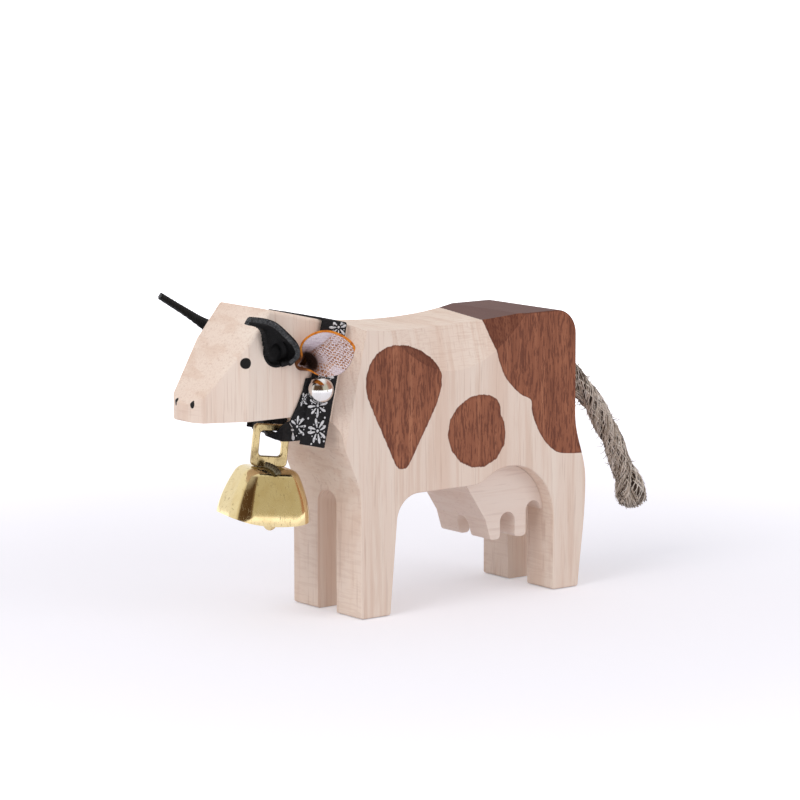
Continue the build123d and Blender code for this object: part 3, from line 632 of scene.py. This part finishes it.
def lining_material():
    """Knitted lining of the ears: pale loops, brown dashes between them, and painted shade towards the root.
    """
    n = Surface("knitted_lining")
    place = n.coordinates()
    x, y, z = n.split(place)
    forward = n.times_plus(x, 1 / MM, -EAR_MOUTH.x)
    outward = n.times_plus(n.absolute(y), 1 / MM, -EAR_MOUTH.y)
    along = n.times_plus(forward, cos(EAR_TURN), n.times(outward, sin(EAR_TURN)))
    rise = n.times_plus(z, 1 / MM, -EAR_MOUTH.z)
    wobble = n.noise(place, 300)
    jitter = n.noise(place, 1500, 1.0)
    row = n.plus(n.times_plus(along, 0.32, rise), n.times_plus(wobble, 2.4, n.times(jitter, 0.9)))
    column = n.times_plus(wobble, 1.6, along)
    loops = n.add("ShaderNodeTexBrick", {
        "Vector": n.add("ShaderNodeCombineXYZ", {"X": column, "Y": row}),
        "Scale": 1.0, "Mortar Size": 0.20, "Mortar Smooth": 0.7, "Bias": 0.0,
        "Brick Width": 1.15, "Row Height": 0.80,
        "Color1": srgb(150, 98, 68), "Color2": srgb(196, 150, 120), "Mortar": srgb(238, 226, 230),
    }, offset=0.5, squash=1.0)
    fade = n.noise(place, 170, move=(0.2, 0, 0))
    colour = n.tint(loops.outputs["Color"], (228, 214, 220), n.step(fade, 0.50, 0.64), 0.7)
    # The upper part, a fold turned up to the light, is painted pale as plain cloth (painted light), and the
    # knitted part lies in its painted shade under their border
    band = n.minus(rise, n.times_plus(along, 0.72, 4.9))
    streaks = n.noise(place, (300, 300, 1800))
    plain = n.mix(n.step(streaks, 0.35, 0.70), srgb(232, 220, 226), srgb(206, 190, 198))
    colour = n.mix(n.step(band, -0.5, 0.6), colour, plain)
    shade = n.times(n.step(band, 0.15, -0.15), n.minus(1.0, n.step(band, 0.2, -2.6)))
    colour = n.tint(colour, (120, 90, 84), n.times(shade, n.step(along, 2.5, -6.0)), 0.65)
    # Painted shade of the hollow: a brown haze round it and a near-black middle
    beside, below = n.minus(along, HOLLOW_ALONG), n.minus(rise, HOLLOW_RISE)
    turned = n.times_plus(beside, HOLLOW_COS, n.times(below, -HOLLOW_SIN))
    crossed = n.times_plus(beside, HOLLOW_SIN, n.times(below, HOLLOW_COS))
    hollow = n.hypot(n.times(turned, 1 / HOLLOW_SIZES[0]), n.times(crossed, 1 / HOLLOW_SIZES[1]))
    colour = n.tint(colour, (112, 70, 50), n.step(hollow, 2.6, 0.9), 0.72)
    colour = n.mix(n.step(hollow, 1.20, 0.72), colour, srgb(44, 25, 18))
    n.set(colour=colour, rough=0.85, specular=0.15)
    n.bump(loops.outputs["Fac"], 0.6, 0.3 * MM)
    return n.material


def rope_material(name, dark, middle, light):
    """Hemp fibres between three tones."""
    n = Surface(name)
    place = n.coordinates()
    strands = n.noise(place, (700, 700, 160), 4.0, 0.6)
    tone = n.noise(place, 160)
    colour = n.ramp(strands, (0.30, dark), (0.50, middle), (0.72, light))
    colour = n.tint(colour, dark, n.step(tone, 0.45, 0.7), 0.35)
    n.set(colour=colour, rough=0.85, specular=0.2, sheen=0.2)
    n.bump(strands, 0.5, 0.2 * MM)
    return n.material


def metal(name, colour, stained, rough, bumps, scratches, worn=0.35):
    """Polished metal with faint stains, scratches and uneven gloss; both colours are levels."""
    n = Surface(name)
    place = n.coordinates()
    uneven = n.noise(place, 240, 3.0)
    smear = n.noise(place, 110)
    lines = n.noise(place, (2600, 300, 500), 2.0, 0.5, 0.8)
    pits = n.noise(place, (900, 900, 1400), 2.0, 0.6, 1.2, (0.4, 0, 0))
    marks = n.times(n.larger(n.step(lines, 0.62, 0.70), n.step(pits, 0.67, 0.72)), scratches)
    tone = n.tint(srgb(*colour), stained, n.step(uneven, 0.40, 0.75), worn)
    scratched = (*(level * 0.35 for level in srgb(*stained)[:3]), 1)
    tone = n.mix(n.times(marks, 0.40), tone, scratched)
    gloss = n.times_plus(smear, 0.12, rough)
    n.set(colour=tone, metal=1.0, rough=n.times_plus(marks, 0.35, gloss))
    n.bump(n.plus(uneven, n.times(marks, 0.5)), bumps, 0.2 * MM)
    return n.material


def ribbon_black():
    """Black woven ribbon: fine ribs across its width."""
    n = Surface("black_ribbon")
    place = n.coordinates()
    ribs = n.noise(place, (700, 700, 3800), 2.0, 0.6)
    warp = n.noise(place, (2600, 2600, 600), 2.0, 0.6)
    weave = n.plus(n.times(ribs, 0.6), n.times(warp, 0.4))
    colour = n.ramp(weave, (0.35, (10, 10, 11)), (0.52, (22, 22, 24)), (0.70, (44, 44, 47)))
    n.set(colour=colour, rough=0.8, specular=0.25, sheen=0.1)
    n.bump(weave, 0.6, 0.2 * MM)
    return n.material


def thread_white():
    """White thread of the woven flowers."""
    n = Surface("white_thread")
    strands = n.noise(n.coordinates(), (900, 900, 3200), 2.0, 0.6)
    colour = n.ramp(strands, (0.30, (176, 176, 178)), (0.55, (226, 226, 226)), (0.75, (246, 246, 244)))
    n.set(colour=colour, rough=0.75, specular=0.3)
    n.bump(strands, 0.5, 0.15 * MM)
    return n.material


body_wood = wood("pale_wood_stained", True, (330, 60, 14), (1900, 600, 60), (80, 14, 5))
udder_wood = wood("pale_wood", False, (14, 40, 260), (80, 500, 1500), (8, 14, 90))
brass = metal("brass", (232, 212, 162), (210, 180, 120), 0.06, 0.06, 0.9)
bail_brass = metal("bail_brass", (204, 184, 136), (104, 80, 48), 0.20, 0.14, 1.0, 0.75)
steel = metal("bright_steel", (232, 231, 230), (206, 203, 200), 0.05, 0.02, 0.3)
wire = metal("dark_wire", (122, 116, 96), (44, 36, 28), 0.30, 0.4, 1.0)
black_leather = leather("black_leather", (5, 5, 6), (12, 12, 13), (34, 34, 36), 900, 0.6)
grey_edge = leather("grey_leather_edge", (34, 35, 36), (66, 68, 69), (112, 114, 114), 1300, 0.8)
orange_leather = leather(
    "orange_leather", (186, 98, 22), (222, 132, 36), (240, 168, 74), 600, 0.4, EAR_ROOT,
)
lining = lining_material()
woven_black = ribbon_black()
white_thread = thread_white()
# The core's dark hemp also stands in for the shade in the gaps between fibres: partly painted shade
hemp = rope_material("hemp", (44, 34, 27), (68, 55, 45), (104, 88, 75))
# The fibres' pale and dark tones spread wider than the hemp's own: partly painted highlight and painted
# shade
fibre_hemps = (
    rope_material("hemp_pale", (214, 200, 184), (240, 228, 214), (252, 244, 234)),
    rope_material("hemp_middle", (160, 142, 124), (196, 180, 162), (222, 208, 192)),
    rope_material("hemp_dark", (64, 50, 40), (92, 76, 62), (124, 106, 90)),
)

# Rigid pieces keep their shapes and take their materials
for name, material in (
    ("cow_body", body_wood),
    ("udder", udder_wood),
    ("bell_bail", bail_brass),
    ("bell_shell", brass),
    ("clapper", brass),
):
    nodes[name].data.materials.clear()
    nodes[name].data.materials.append(material)
tail.data.materials.append(hemp)
for material in fibre_hemps:
    tail_fibres.data.materials.append(material)
for polygon, tone in zip(tail_fibres.data.polygons, fibre_tones):
    polygon.material_index = tone


def on_side(way, side):
    """A place or way that is given for the far side (side 1), also on the near one (side -1)."""
    return Vector((way[0], side * way[1], way[2]))


# Horns: curled strips of ribbed leather with grey cut edges, round a core that fills the root
HORN_ROOT = Vector((-49.15, 14.2, 90.2))
HORN_CROWN = Vector((0.6, 0, 0.8))
HORN_SWEEP, HORN_REACH, HORN_DEPTH = 18.4, 9.2, 6.0
HORN_ROOT_RADIUS, HORN_CURL, HORN_THICK = 4.55, 3.4, 1.6
HORN_ROOT_HALF = 130.0
HORN_STEPS, HORN_POINTS = 200, 21
# Ribs between two stations, their slant and height, and how far the cut edges are jagged
HORN_RIBS, RIB_SLANT, RIB_INSIDE, RIB_OUTSIDE, HORN_JAG = 8.0, 0.50, 0.22, 0.132, 0.035
# The cut edge is grey from this many stations on
GREY_FROM = 1.45
# Rings of the core: depth in the hole and radius
HORN_CORE = (
    (5.5, 0.2), (5.4, 4.0), (0.0, 4.6), (-0.18, 4.5), (-0.20, 3.9),
    (0.9, 3.4), (1.0, 2.6), (0.6, 2.2), (0.9, 1.2), (0.8, 0.2),
)
HORN_CORE_DROP, HORN_CORE_SIDES = 0.9, 40
# Side, rise and stations: shares of sweep, reach and rise, run, crown, curl share, half curl
HORNS = {
    "left": (-1, 10.8, (
        ((0.01, 0.24, 0.41), (-0.42, 0.86, 0.29), (0.09, -0.28, 0.96), 1.47, 84),
        ((0.28, 0.43, 0.80), (-0.78, 0.30, 0.55), (0.36, -0.51, 0.78), 0.91, 70),
        ((0.56, 0.63, 0.96), (-0.94, 0.26, 0.20), (0.09, -0.58, 0.81), 0.70, 52),
        ((0.93, 0.90, 1.06), (-0.97, 0.18, 0.14), (0.03, -0.75, 0.66), 0.60, 36),
    )),
    "right": (1, 15.2, (
        ((0.01, 0.24, 0.30), (-0.45, 0.80, 0.38), (0.14, -0.36, 0.92), 1.47, 84),
        ((0.32, 0.45, 0.44), (-0.76, 0.25, 0.60), (0.40, -0.57, 0.72), 0.85, 62),
        ((0.66, 0.71, 0.70), (-0.79, 0.24, 0.57), (0.36, -0.57, 0.74), 0.66, 46),
        ((1.07, 0.93, 1.02), (-0.78, 0.22, 0.59), (0.38, -0.60, 0.71), 0.60, 36),
    )),
}


def smooth_between(values, where):
    """Catmull-Rom value at a place counted in stations; values are vectors or numbers."""
    i = min(int(where), len(values) - 2)
    t = where - i
    a, b, c, d = (values[max(0, min(len(values) - 1, i + k))] for k in (-1, 0, 1, 2))
    square = (2 * a - 5 * b + 4 * c - d) * t ** 2
    cube = (3 * b - a - 3 * c + d) * t ** 3
    return 0.5 * ((2 * b) + (c - a) * t + square + cube)


def horn_columns(side, rise, stations):
    """Places, runs, crowns, curl radii and half curls from inside the hole to the tip."""
    base = on_side(HORN_ROOT, side) + HORN_CROWN * HORN_ROOT_RADIUS
    out_way = Vector((0, side, 0))
    data = [
        (base - out_way * depth, out_way, HORN_CROWN, HORN_ROOT_RADIUS, HORN_ROOT_HALF)
        for depth in (HORN_DEPTH, 0)
    ]
    for (forward, reach, lift), run, crown, curl, half in stations:
        place = HORN_ROOT + Vector((-forward * HORN_SWEEP, reach * HORN_REACH, lift * rise))
        data.append((on_side(place, side), on_side(run, side), on_side(crown, side), curl * HORN_CURL, half))
    return [list(column) for column in zip(*data)]


def horn_row(columns, where):
    """Outline of the strip at a place counted in stations: its outer face, then its inner one."""
    place, run, crown, radius, half = (smooth_between(column, where) for column in columns)
    run = run.normalized()
    across = crown.cross(run).normalized()
    up = run.cross(across)
    row = []
    for face, rib_height in ((1, RIB_OUTSIDE), (-1, RIB_INSIDE)):
        for j in range(HORN_POINTS):
            share = face * (1 - 2 * j / (HORN_POINTS - 1))
            angle = share * radians(half)
            phase = FULL_TURN * (where * HORN_RIBS + angle * radius * RIB_SLANT)
            reach = radius + face * HORN_THICK / 2
            if abs(share) == 1:
                angle *= 1 + HORN_JAG * sin(phase / 2 + 1.3)
            else:
                reach += rib_height * sin(phase)
            over = reach * cos(angle) - radius
            row.append((place + across * (reach * sin(angle)) + up * over) * MM)
    return row


def build_horn(name, side, rise, stations):
    """The curled strip, and the core in its hole."""
    columns = horn_columns(side, rise, stations)
    spans = len(columns[0]) - 1
    rows = [horn_row(columns, spans * i / HORN_STEPS) for i in range(HORN_STEPS + 1)]
    horn = ring_mesh(f"horn_{name}_ribbed", rows)
    wide = len(rows[0])
    cut_edge = wide - 1 if side < 0 else HORN_POINTS - 1
    for index, polygon in enumerate(horn.data.polygons):
        on_edge = index % wide == cut_edge and index >= HORN_STEPS * wide * GREY_FROM / spans
        if on_edge or index >= HORN_STEPS * wide:
            polygon.material_index = 1
            polygon.use_smooth = False
    centre = on_side(HORN_ROOT, side) - HORN_CROWN * HORN_CORE_DROP
    core = ring_mesh(f"horn_{name}_core", [
        circle((centre - Y_WAY * side * depth) * MM, X_WAY, Z_WAY, size * MM, HORN_CORE_SIDES)
        for depth, size in HORN_CORE
    ])
    dress(core, f"horn_{name}", "horn_leather", "cow", black_leather)
    dress(horn, f"horn_{name}", "horn_leather", "cow", black_leather, grey_edge)


for horn_name, (horn_side, horn_rise, horn_stations) in HORNS.items():
    build_horn(horn_name, horn_side, horn_rise, horn_stations)

# Ears: a leather scoop and its lining, from inside the hole to the mouth
EAR_LONG, EAR_TALL, EAR_STEM = 9.15, 7.8, 2.9
EAR_BOW, EAR_DEPTH = 0.16, 14
EAR_COUNT, EAR_STEPS, EAR_HOLE_SHARE, LINING_FROM = 96, 30, 0.35, 8
# The wall is cut low round one place: its angle, half its width and how low
EAR_CUT_AT, EAR_CUT_HALF, EAR_CUT = radians(212), radians(46), 0.97
EAR_SHORT = 0.20
# Rings of each lip: share of the scoop's length and inset from its outside
LEATHER_LIP = ((1.012, 0.12), (1.016, 0.32), (1.010, 0.52), (0.996, 0.62))
LINING_LIP = ((0.992, 0.80), (0.998, 0.98), (0.992, 1.20))


def ear_point(side, angle, share, inset):
    """A point of the ear's scoop: share 0 at the root, 1 at the mouth; inset from the outside."""
    root, mouth = on_side(EAR_ROOT, side), on_side(EAR_MOUTH, side)
    long_way = Vector((cos(EAR_TURN), side * sin(EAR_TURN), 0))
    wave = 0.22 * sin(3 * angle + 0.6) + 0.12 * sin(5 * angle) - inset
    low = root + sideways(X_WAY, Z_WAY, angle) * (EAR_STEM - inset)
    high = mouth + sideways(long_way * (EAR_LONG + wave), Z_WAY * (EAR_TALL + wave), angle)
    point = low.lerp(high, share)
    return point - (point - root.lerp(mouth, share)) * (EAR_BOW * sin(pi * share))


def ear_extent(angle):
    """How far the scoop's wall reaches at an angle: it stays short on its open side."""
    off = abs((angle - EAR_CUT_AT + pi) % FULL_TURN - pi) / EAR_CUT_HALF
    return 1.0 if off >= 1 else 1.0 - EAR_CUT * (0.5 + 0.5 * cos(pi * off)) ** 0.8


def ear_row(side, share, inset, short=0.0):
    """Points round the scoop at a share of its length, which is below zero in the hole."""
    row = []
    for j in range(EAR_COUNT):
        angle = FULL_TURN * j / EAR_COUNT
        if share < 0:
            point = ear_point(side, angle, 0, inset) + Y_WAY * (side * share * EAR_DEPTH)
        else:
            reach = ear_extent(angle) * (1 - short * max(0.0, -sin(angle - 0.3)))
            point = ear_point(side, angle, share * reach, inset)
        row.append(point * MM)
    return row


def build_ear(name, side):
    """The leather scoop outside and its knitted lining inside, each a shell with a rounded lip."""
    shares = [-EAR_HOLE_SHARE + (1 + EAR_HOLE_SHARE) * i / EAR_STEPS for i in range(EAR_STEPS + 1)]
    for part, material, part_shares, outside, lip, inside, short in (
        ("leather", orange_leather, shares, 0.0, LEATHER_LIP, 0.66, EAR_SHORT),
        ("lining", lining, shares[LINING_FROM:], 0.72, LINING_LIP, 1.34, 0.0),
    ):
        places = [(share, outside) for share in part_shares] + list(lip)
        places += [(share, inside) for share in reversed(part_shares[:-1])]
        rows = [ear_row(side, *place, short) for place in places]
        piece = ring_mesh(f"ear_{name}_{part}", rows, capped=False)
        dress(piece, f"ear_{name}", "ear_leather", "cow", material)


build_ear("left", -1)
build_ear("right", 1)

# Dome nail: radius and height of each ring, from the point in the wood to the top of the dome
NAIL = Vector((-33.75, -15.6, 76.5))
NAIL_RADIUS, NAIL_DOME, NAIL_LIFT = 4.55, 4.4, 0.3
NAIL_STEPS, NAIL_SIDES = 24, 72
nail_rings = [(0.6, -9.0), (0.62, 0.0), (3.6, -0.05), (4.1, -0.02), (NAIL_RADIUS, 0.15)]
for i in range(NAIL_STEPS + 1):
    turn = pi / 2 * i / NAIL_STEPS
    nail_rings.append((NAIL_RADIUS * cos(turn), NAIL_DOME * sin(turn) + NAIL_LIFT))
nail_piece = ring_mesh("nail_dome", [
    circle((NAIL - Y_WAY * height) * MM, X_WAY, Z_WAY, radius * MM, NAIL_SIDES)
    for radius, height in nail_rings
])
dress(nail_piece, "collar_nail", "nail_steel", "cow", steel)

# Bell hanger: an eye, a stem through the crown, a bent end and a twisted pair on the shoulder
BELL_UP = Vector((0.1100, -0.0266, 0.9936))
HANGER_TOP = Vector((-44.66, -4.52, 50.42))
HANGER_WAY = Vector((0.3123, -0.9481, -0.0600))
EYE_WAY = Vector((-0.2351, -0.9720, 0))
WIRE_RADIUS, WIRE_SIDES = 0.6, 12
STEM_DEPTHS, BEND_RADIUS, BEND_TURN, BEND_STEPS = (3.8, 2.4, 1.0, 0.3), 1.05, radians(130), 11
END_TURN, END_STEPS = radians(40), (0.5, 1.0, 1.5, 2.0, 2.4)
EYE_RADIUS, EYE_DROP, EYE_STEPS = 1.35, 5.15, 40
# The pair lies on the bell from one reach to the other, each strand beside a common line
REST_FROM, REST_TO, REST_STEPS, REST_LIFT = -2.6, 2.5, 24, 0.75
PAIR_STEPS, PAIR_TWIST, PAIR_APART, PAIR_RADIUS = 80, 0.24, 0.58, 0.64
wire_verts, wire_faces = [], []
stem = [HANGER_TOP - BELL_UP * depth for depth in STEM_DEPTHS]
bend_centre = stem[-1] + HANGER_WAY * BEND_RADIUS
for i in range(1, BEND_STEPS + 1):
    turn = BEND_TURN * i / BEND_STEPS
    stem.append(bend_centre + sideways(-HANGER_WAY, BELL_UP, turn) * BEND_RADIUS)
end_way = sideways(HANGER_WAY, -BELL_UP, END_TURN)
stem += [stem[-1] + end_way * reach for reach in END_STEPS]
tube(wire_verts, wire_faces, [point * MM for point in stem], WIRE_RADIUS * MM, WIRE_SIDES)
shell_tree = BVHTree.FromObject(nodes["bell_shell"], bpy.context.evaluated_depsgraph_get())
rest_line = []
for i in range(REST_STEPS + 1):
    reach = REST_FROM + (REST_TO - REST_FROM) * i / REST_STEPS
    start = HANGER_TOP + HANGER_WAY * reach + BELL_UP * 7
    hit, face_normal, _, _ = shell_tree.ray_cast(start * MM, -BELL_UP, 0.02)
    if hit is not None:
        rest_line.append(hit + (face_normal + BELL_UP).normalized() * REST_LIFT * MM)
for first_angle in (0.0, pi):
    strand = [
        point + sideways(side, third, first_angle + i * PAIR_TWIST) * PAIR_APART * MM
        for i, (point, _, side, third) in enumerate(frames_along(evenly(rest_line, PAIR_STEPS)))
    ]
    tube(wire_verts, wire_faces, strand, PAIR_RADIUS * MM, WIRE_SIDES)
eye = circle((HANGER_TOP - BELL_UP * EYE_DROP) * MM, -BELL_UP, EYE_WAY, EYE_RADIUS * MM, EYE_STEPS)
tube(wire_verts, wire_faces, eye + eye[:1], WIRE_RADIUS * MM, WIRE_SIDES)
hanger_piece = new_mesh("hanger_wire", wire_verts, wire_faces)
fix_normals(hanger_piece)
dress(hanger_piece, "bell_hanger", "dark_wire", "bell", wire)

# Ribbon: the CAD strap with rounded edges and a slightly uneven surface
CLOTH_VOXEL = 0.17 * MM
ribbon = new_object("ribbon_cloth", nodes["collar_ribbon"].data.copy())
ribbon.data.materials.clear()
remesh = ribbon.modifiers.new("remesh", "REMESH")
remesh.mode = "VOXEL"
remesh.voxel_size = CLOTH_VOXEL
soften = ribbon.modifiers.new("soften", "SMOOTH")
soften.factor = 0.5
soften.iterations = 5
bpy.context.view_layer.update()
evaluated = ribbon.evaluated_get(bpy.context.evaluated_depsgraph_get())
cloth_mesh = bpy.data.meshes.new_from_object(evaluated)
ribbon.modifiers.clear()
ribbon.data = cloth_mesh
for vertex in ribbon.data.vertices:
    x, y, z = vertex.co
    vertex.co.y += 0.05 * MM * sin(z * 900) * sin(x * 600)
for polygon in ribbon.data.polygons:
    polygon.use_smooth = True
dress(ribbon, "collar_ribbon", "ribbon", "cow", woven_black)

# Woven flowers: raised stitches on the ribbon
STITCH_RINGS = ((1.0, -0.05), (1.0, 0.06), (0.70, 0.13))
STITCH_ABOVE, STITCH_REACH = 2.0, 4.5
PETALS, DOT_POINTS = 8, 8
# Half of a petal's outline: shares of its length and of half its width
PETAL_HALF = ((0.0, 0.30), (0.3, 0.62), (0.65, 1.0), (0.9, 0.72))
ribbon_tree = BVHTree.FromObject(ribbon, bpy.context.evaluated_depsgraph_get())
flower_verts, flower_faces = [], []


def stitch(points, centre, normal, right, up):
    """A raised thread shape on the ribbon, if it has room there; says whether it was made."""
    rings = []
    middle = sum(points, Vector((0, 0))) / len(points)
    for shrink, lift in STITCH_RINGS:
        ring = []
        for point in points:
            place = middle.lerp(point, shrink)
            start = centre + right * place.x + up * place.y + normal * STITCH_ABOVE
            hit, face_normal, _, _ = ribbon_tree.ray_cast(start * MM, -normal, STITCH_REACH * MM)
            if hit is None or face_normal.dot(normal) < 0.5:
                return False
            ring.append(hit + normal * (lift * MM))
        rings.append(ring)
    flower_faces.extend(ring_faces(len(flower_verts), len(rings), len(points)))
    for ring in rings:
        flower_verts.extend(ring)
    return True


def petal(angle, near, far, width, bend):
    """Outline of a tapered petal that runs outward at an angle."""
    outline = []
    other_half = [(share, -half) for share, half in reversed(PETAL_HALF)]
    for share, half in (*PETAL_HALF, (1.0, 0.0), *other_half):
        reach = near + (far - near) * share
        turn = angle + bend * share
        side = half * width / 2
        outline.append(sideways(Vector((reach, side)), Vector((-side, reach)), turn))
    return outline


def dot(angle, reach, radius):
    """Outline of a small round stitch."""
    right, up = Vector((1, 0)), Vector((0, 1))
    return circle(sideways(right, up, angle) * reach, right, up, radius, DOT_POINTS)


def flower(centre, normal, up, radius, turn):
    """A star flower of woven petals with small dots between them."""
    centre, normal, up = Vector(centre), Vector(normal).normalized(), Vector(up)
    up = (up - normal * up.dot(normal)).normalized()
    plane = (centre, normal, up.cross(normal), up)
    for i in range(PETALS):
        angle = turn + FULL_TURN * i / PETALS
        far = radius * rng.uniform(0.90, 1.04)
        # A petal that would reach past the ribbon's edge is tried again, shorter
        for reach in (far, far * 0.8, far * 0.6):
            if stitch(petal(angle, radius * 0.24, reach, radius * 0.23, rng.uniform(-0.22, 0.22)), *plane):
                break
        stitch(dot(angle + pi / PETALS, radius * 0.62, radius * 0.055), *plane)
    stitch(dot(0, 0, radius * 0.12), *plane)


# Loose turn of cloth between the far strap and the chest, which also covers where the ribbon's shadow falls:
# partly painted shade
TURN_START, TURN_END, TURN_BOW = Vector((-31.6, 13.6, 0)), Vector((-25.4, 13.6, -0.8)), 1.6
TURN_STEPS, TURN_THICK = 12, 0.6
TURN_RISES = (60.6, 61.8, 63.0, 64.2, 65.4)
turn_rows = []
for i in range(TURN_STEPS + 1):
    share = i / TURN_STEPS
    outer = TURN_START.lerp(TURN_END, share) - Y_WAY * (TURN_BOW * sin(pi * share))
    inner = outer - Y_WAY * TURN_THICK
    row = [outer + Z_WAY * rise for rise in TURN_RISES]
    row += [inner + Z_WAY * rise for rise in reversed(TURN_RISES)]
    turn_rows.append([point * MM for point in row])
ribbon_turn = ring_mesh("ribbon_turn", turn_rows)
dress(ribbon_turn, "collar_ribbon", "ribbon", "cow", woven_black)

NEAR, FAR = (0, -1, 0), (0, 1, 0)
NEAR_Y, INNER_Y, FAR_Y, TOP_Z = -15.7, -14.9, 15.2, 98.0
# The way up along the neck, which is also square to the strap's top
BAND = (0.2266, 0, 0.9740)
# Centre, the way it faces, its own way up, radius and turn of each flower
FLOWERS = (
    ((-34.5, NEAR_Y, 63.2), NEAR, (0.04, 0, 1), 4.3, 0.25),
    ((-34.4, NEAR_Y, 71.4), NEAR, (0.04, 0, 1), 4.0, 0.10),
    ((-31.6, NEAR_Y, 80.2), NEAR, BAND, 4.0, 0.30),
    ((-29.4, NEAR_Y, 88.6), NEAR, BAND, 4.0, 0.05),
    ((-26.0, NEAR_Y, 96.0), NEAR, BAND, 3.8, 0.20),
    ((-42.0, INNER_Y, 65.2), NEAR, (0.4, 0, 1), 3.8, 0.30),
    ((-39.8, INNER_Y, 74.0), NEAR, (0.2, 0, 1), 2.4, 0.00),
    ((-27.2, -9.5, TOP_Z), BAND, FAR, 4.0, 0.15),
    ((-27.2, -1.2, TOP_Z), BAND, FAR, 4.0, 0.30),
    ((-27.2, 7.2, TOP_Z), BAND, FAR, 4.0, 0.00),
    *(
        ((-28.6 - 1.9 * i, FAR_Y, 92.4 - 8.1 * i), FAR, BAND, 4.0, turn)
        for i, turn in enumerate((0.20, 0.05, 0.30, 0.10))
    ),
    ((-39.6, -9.0, 63.2), (-0.35, -0.93, 0.1), (0.3, 0, 1), 3.4, 0.35),
)
# Places of single dots on the near side
SPOTS = (
    (-39.0, INNER_Y, 70.2), (-38.2, INNER_Y, 67.6),
    (-31.6, NEAR_Y, 67.2), (-37.0, NEAR_Y, 59.2), (-32.0, NEAR_Y, 59.6),
)
for flower_row in FLOWERS:
    flower(*flower_row)
for spot in SPOTS:
    stitch(dot(0, 0, 0.35), Vector(spot), Vector(NEAR), X_WAY, Z_WAY)
flowers = new_mesh("ribbon_flowers", flower_verts, flower_faces)
fix_normals(flowers)
dress(flowers, "collar_ribbon", "ribbon", "cow", white_thread)

# Floor: a pale surface that takes the object's shadow and glows to white further off
FLOOR_HALF, FLOOR_DROP = 6, 0.0002
corners = [(x * FLOOR_HALF, y * FLOOR_HALF, 0) for x, y in ((-1, -1), (1, -1), (1, 1), (-1, 1))]
floor = new_mesh("floor", corners, [(0, 1, 2, 3)])
floor.location.z = -FLOOR_DROP
n = Surface("floor")
grain = n.noise(n.coordinates(), 40)
n.set(colour=n.mix(n.times(grain, 0.1), srgb(232, 230, 236), srgb(226, 224, 230)), rough=0.9, specular=0.1)
far = n.step(n.length(n.scaled(n.coordinates(), (1, 1, 0))), 0.12, 0.70)
glow = n.times(n.times_plus(far, 0.75, 0.25), n.seen())
white = n.add("ShaderNodeEmission", {"Color": (1, 1, 1, 1), "Strength": glow})
n.feed(n.output.inputs[0], n.add("ShaderNodeAddShader", {0: n.shader, 1: white}))
floor.data.materials.append(n.material)

# World: white, and in gloss painted reflections: a room with white walls and a tan and a dark stretch on its
# open side
ROOM = (
    (0.000, (200, 194, 176)), (0.022, (120, 98, 74)), (0.050, (84, 62, 44)),
    (0.215, (96, 74, 54)), (0.260, (236, 230, 218)), (0.290, (255, 255, 255)),
    (0.660, (255, 255, 255)), (0.760, (180, 126, 104)), (0.860, (180, 138, 116)),
    (0.900, (202, 196, 178)), (1.000, (200, 194, 176)),
)
world = bpy.data.worlds.new("studio")
bpy.context.scene.world = world
world.use_nodes = True
n = Nodes(world.node_tree)
across, away, up = n.split(n.coordinates("Generated"))
room = n.ramp(n.times_plus(n.math("ARCTAN2", across, away), 1 / FULL_TURN, 0.5), *ROOM)
below_ceiling = n.add("ShaderNodeMapRange", {
    "Value": up, "From Min": 0.62, "From Max": 0.88, "To Min": 1.0, "To Max": 0.0,
})
in_gloss = n.times(below_ceiling, n.add("ShaderNodeLightPath").outputs["Is Glossy Ray"])
shown = n.mix(in_gloss, (1, 1, 1, 1), room)
soft = n.add("ShaderNodeBackground", {"Color": (0.96, 0.96, 1.0, 1), "Strength": 0.70})
bright = n.add("ShaderNodeBackground", {"Color": shown, "Strength": 1.0})
n.add("ShaderNodeOutputWorld", {0: n.add("ShaderNodeMixShader", {0: n.seen(), 1: soft, 2: bright})})


def area_light(name, place, size, power, colour):
    """A soft box that faces the cow."""
    data = bpy.data.lights.new(name, "AREA")
    data.shape = "DISK"
    data.size = size
    data.energy = power
    data.color = colour
    lamp = new_object(name, data)
    lamp.location = place
    lamp.rotation_euler = (Vector((0, 0, 0.05)) - lamp.location).to_track_quat("-Z", "Y").to_euler()
    lamp.visible_glossy = False


area_light("key", (-0.95, -0.20, 0.85), 0.7, 4.5, (1.0, 0.98, 0.96))
area_light("fill", (0.6, -1.1, 0.6), 0.9, 2.3, (1.0, 0.98, 0.97))
bpy.context.scene.view_settings.view_transform = "Standard"
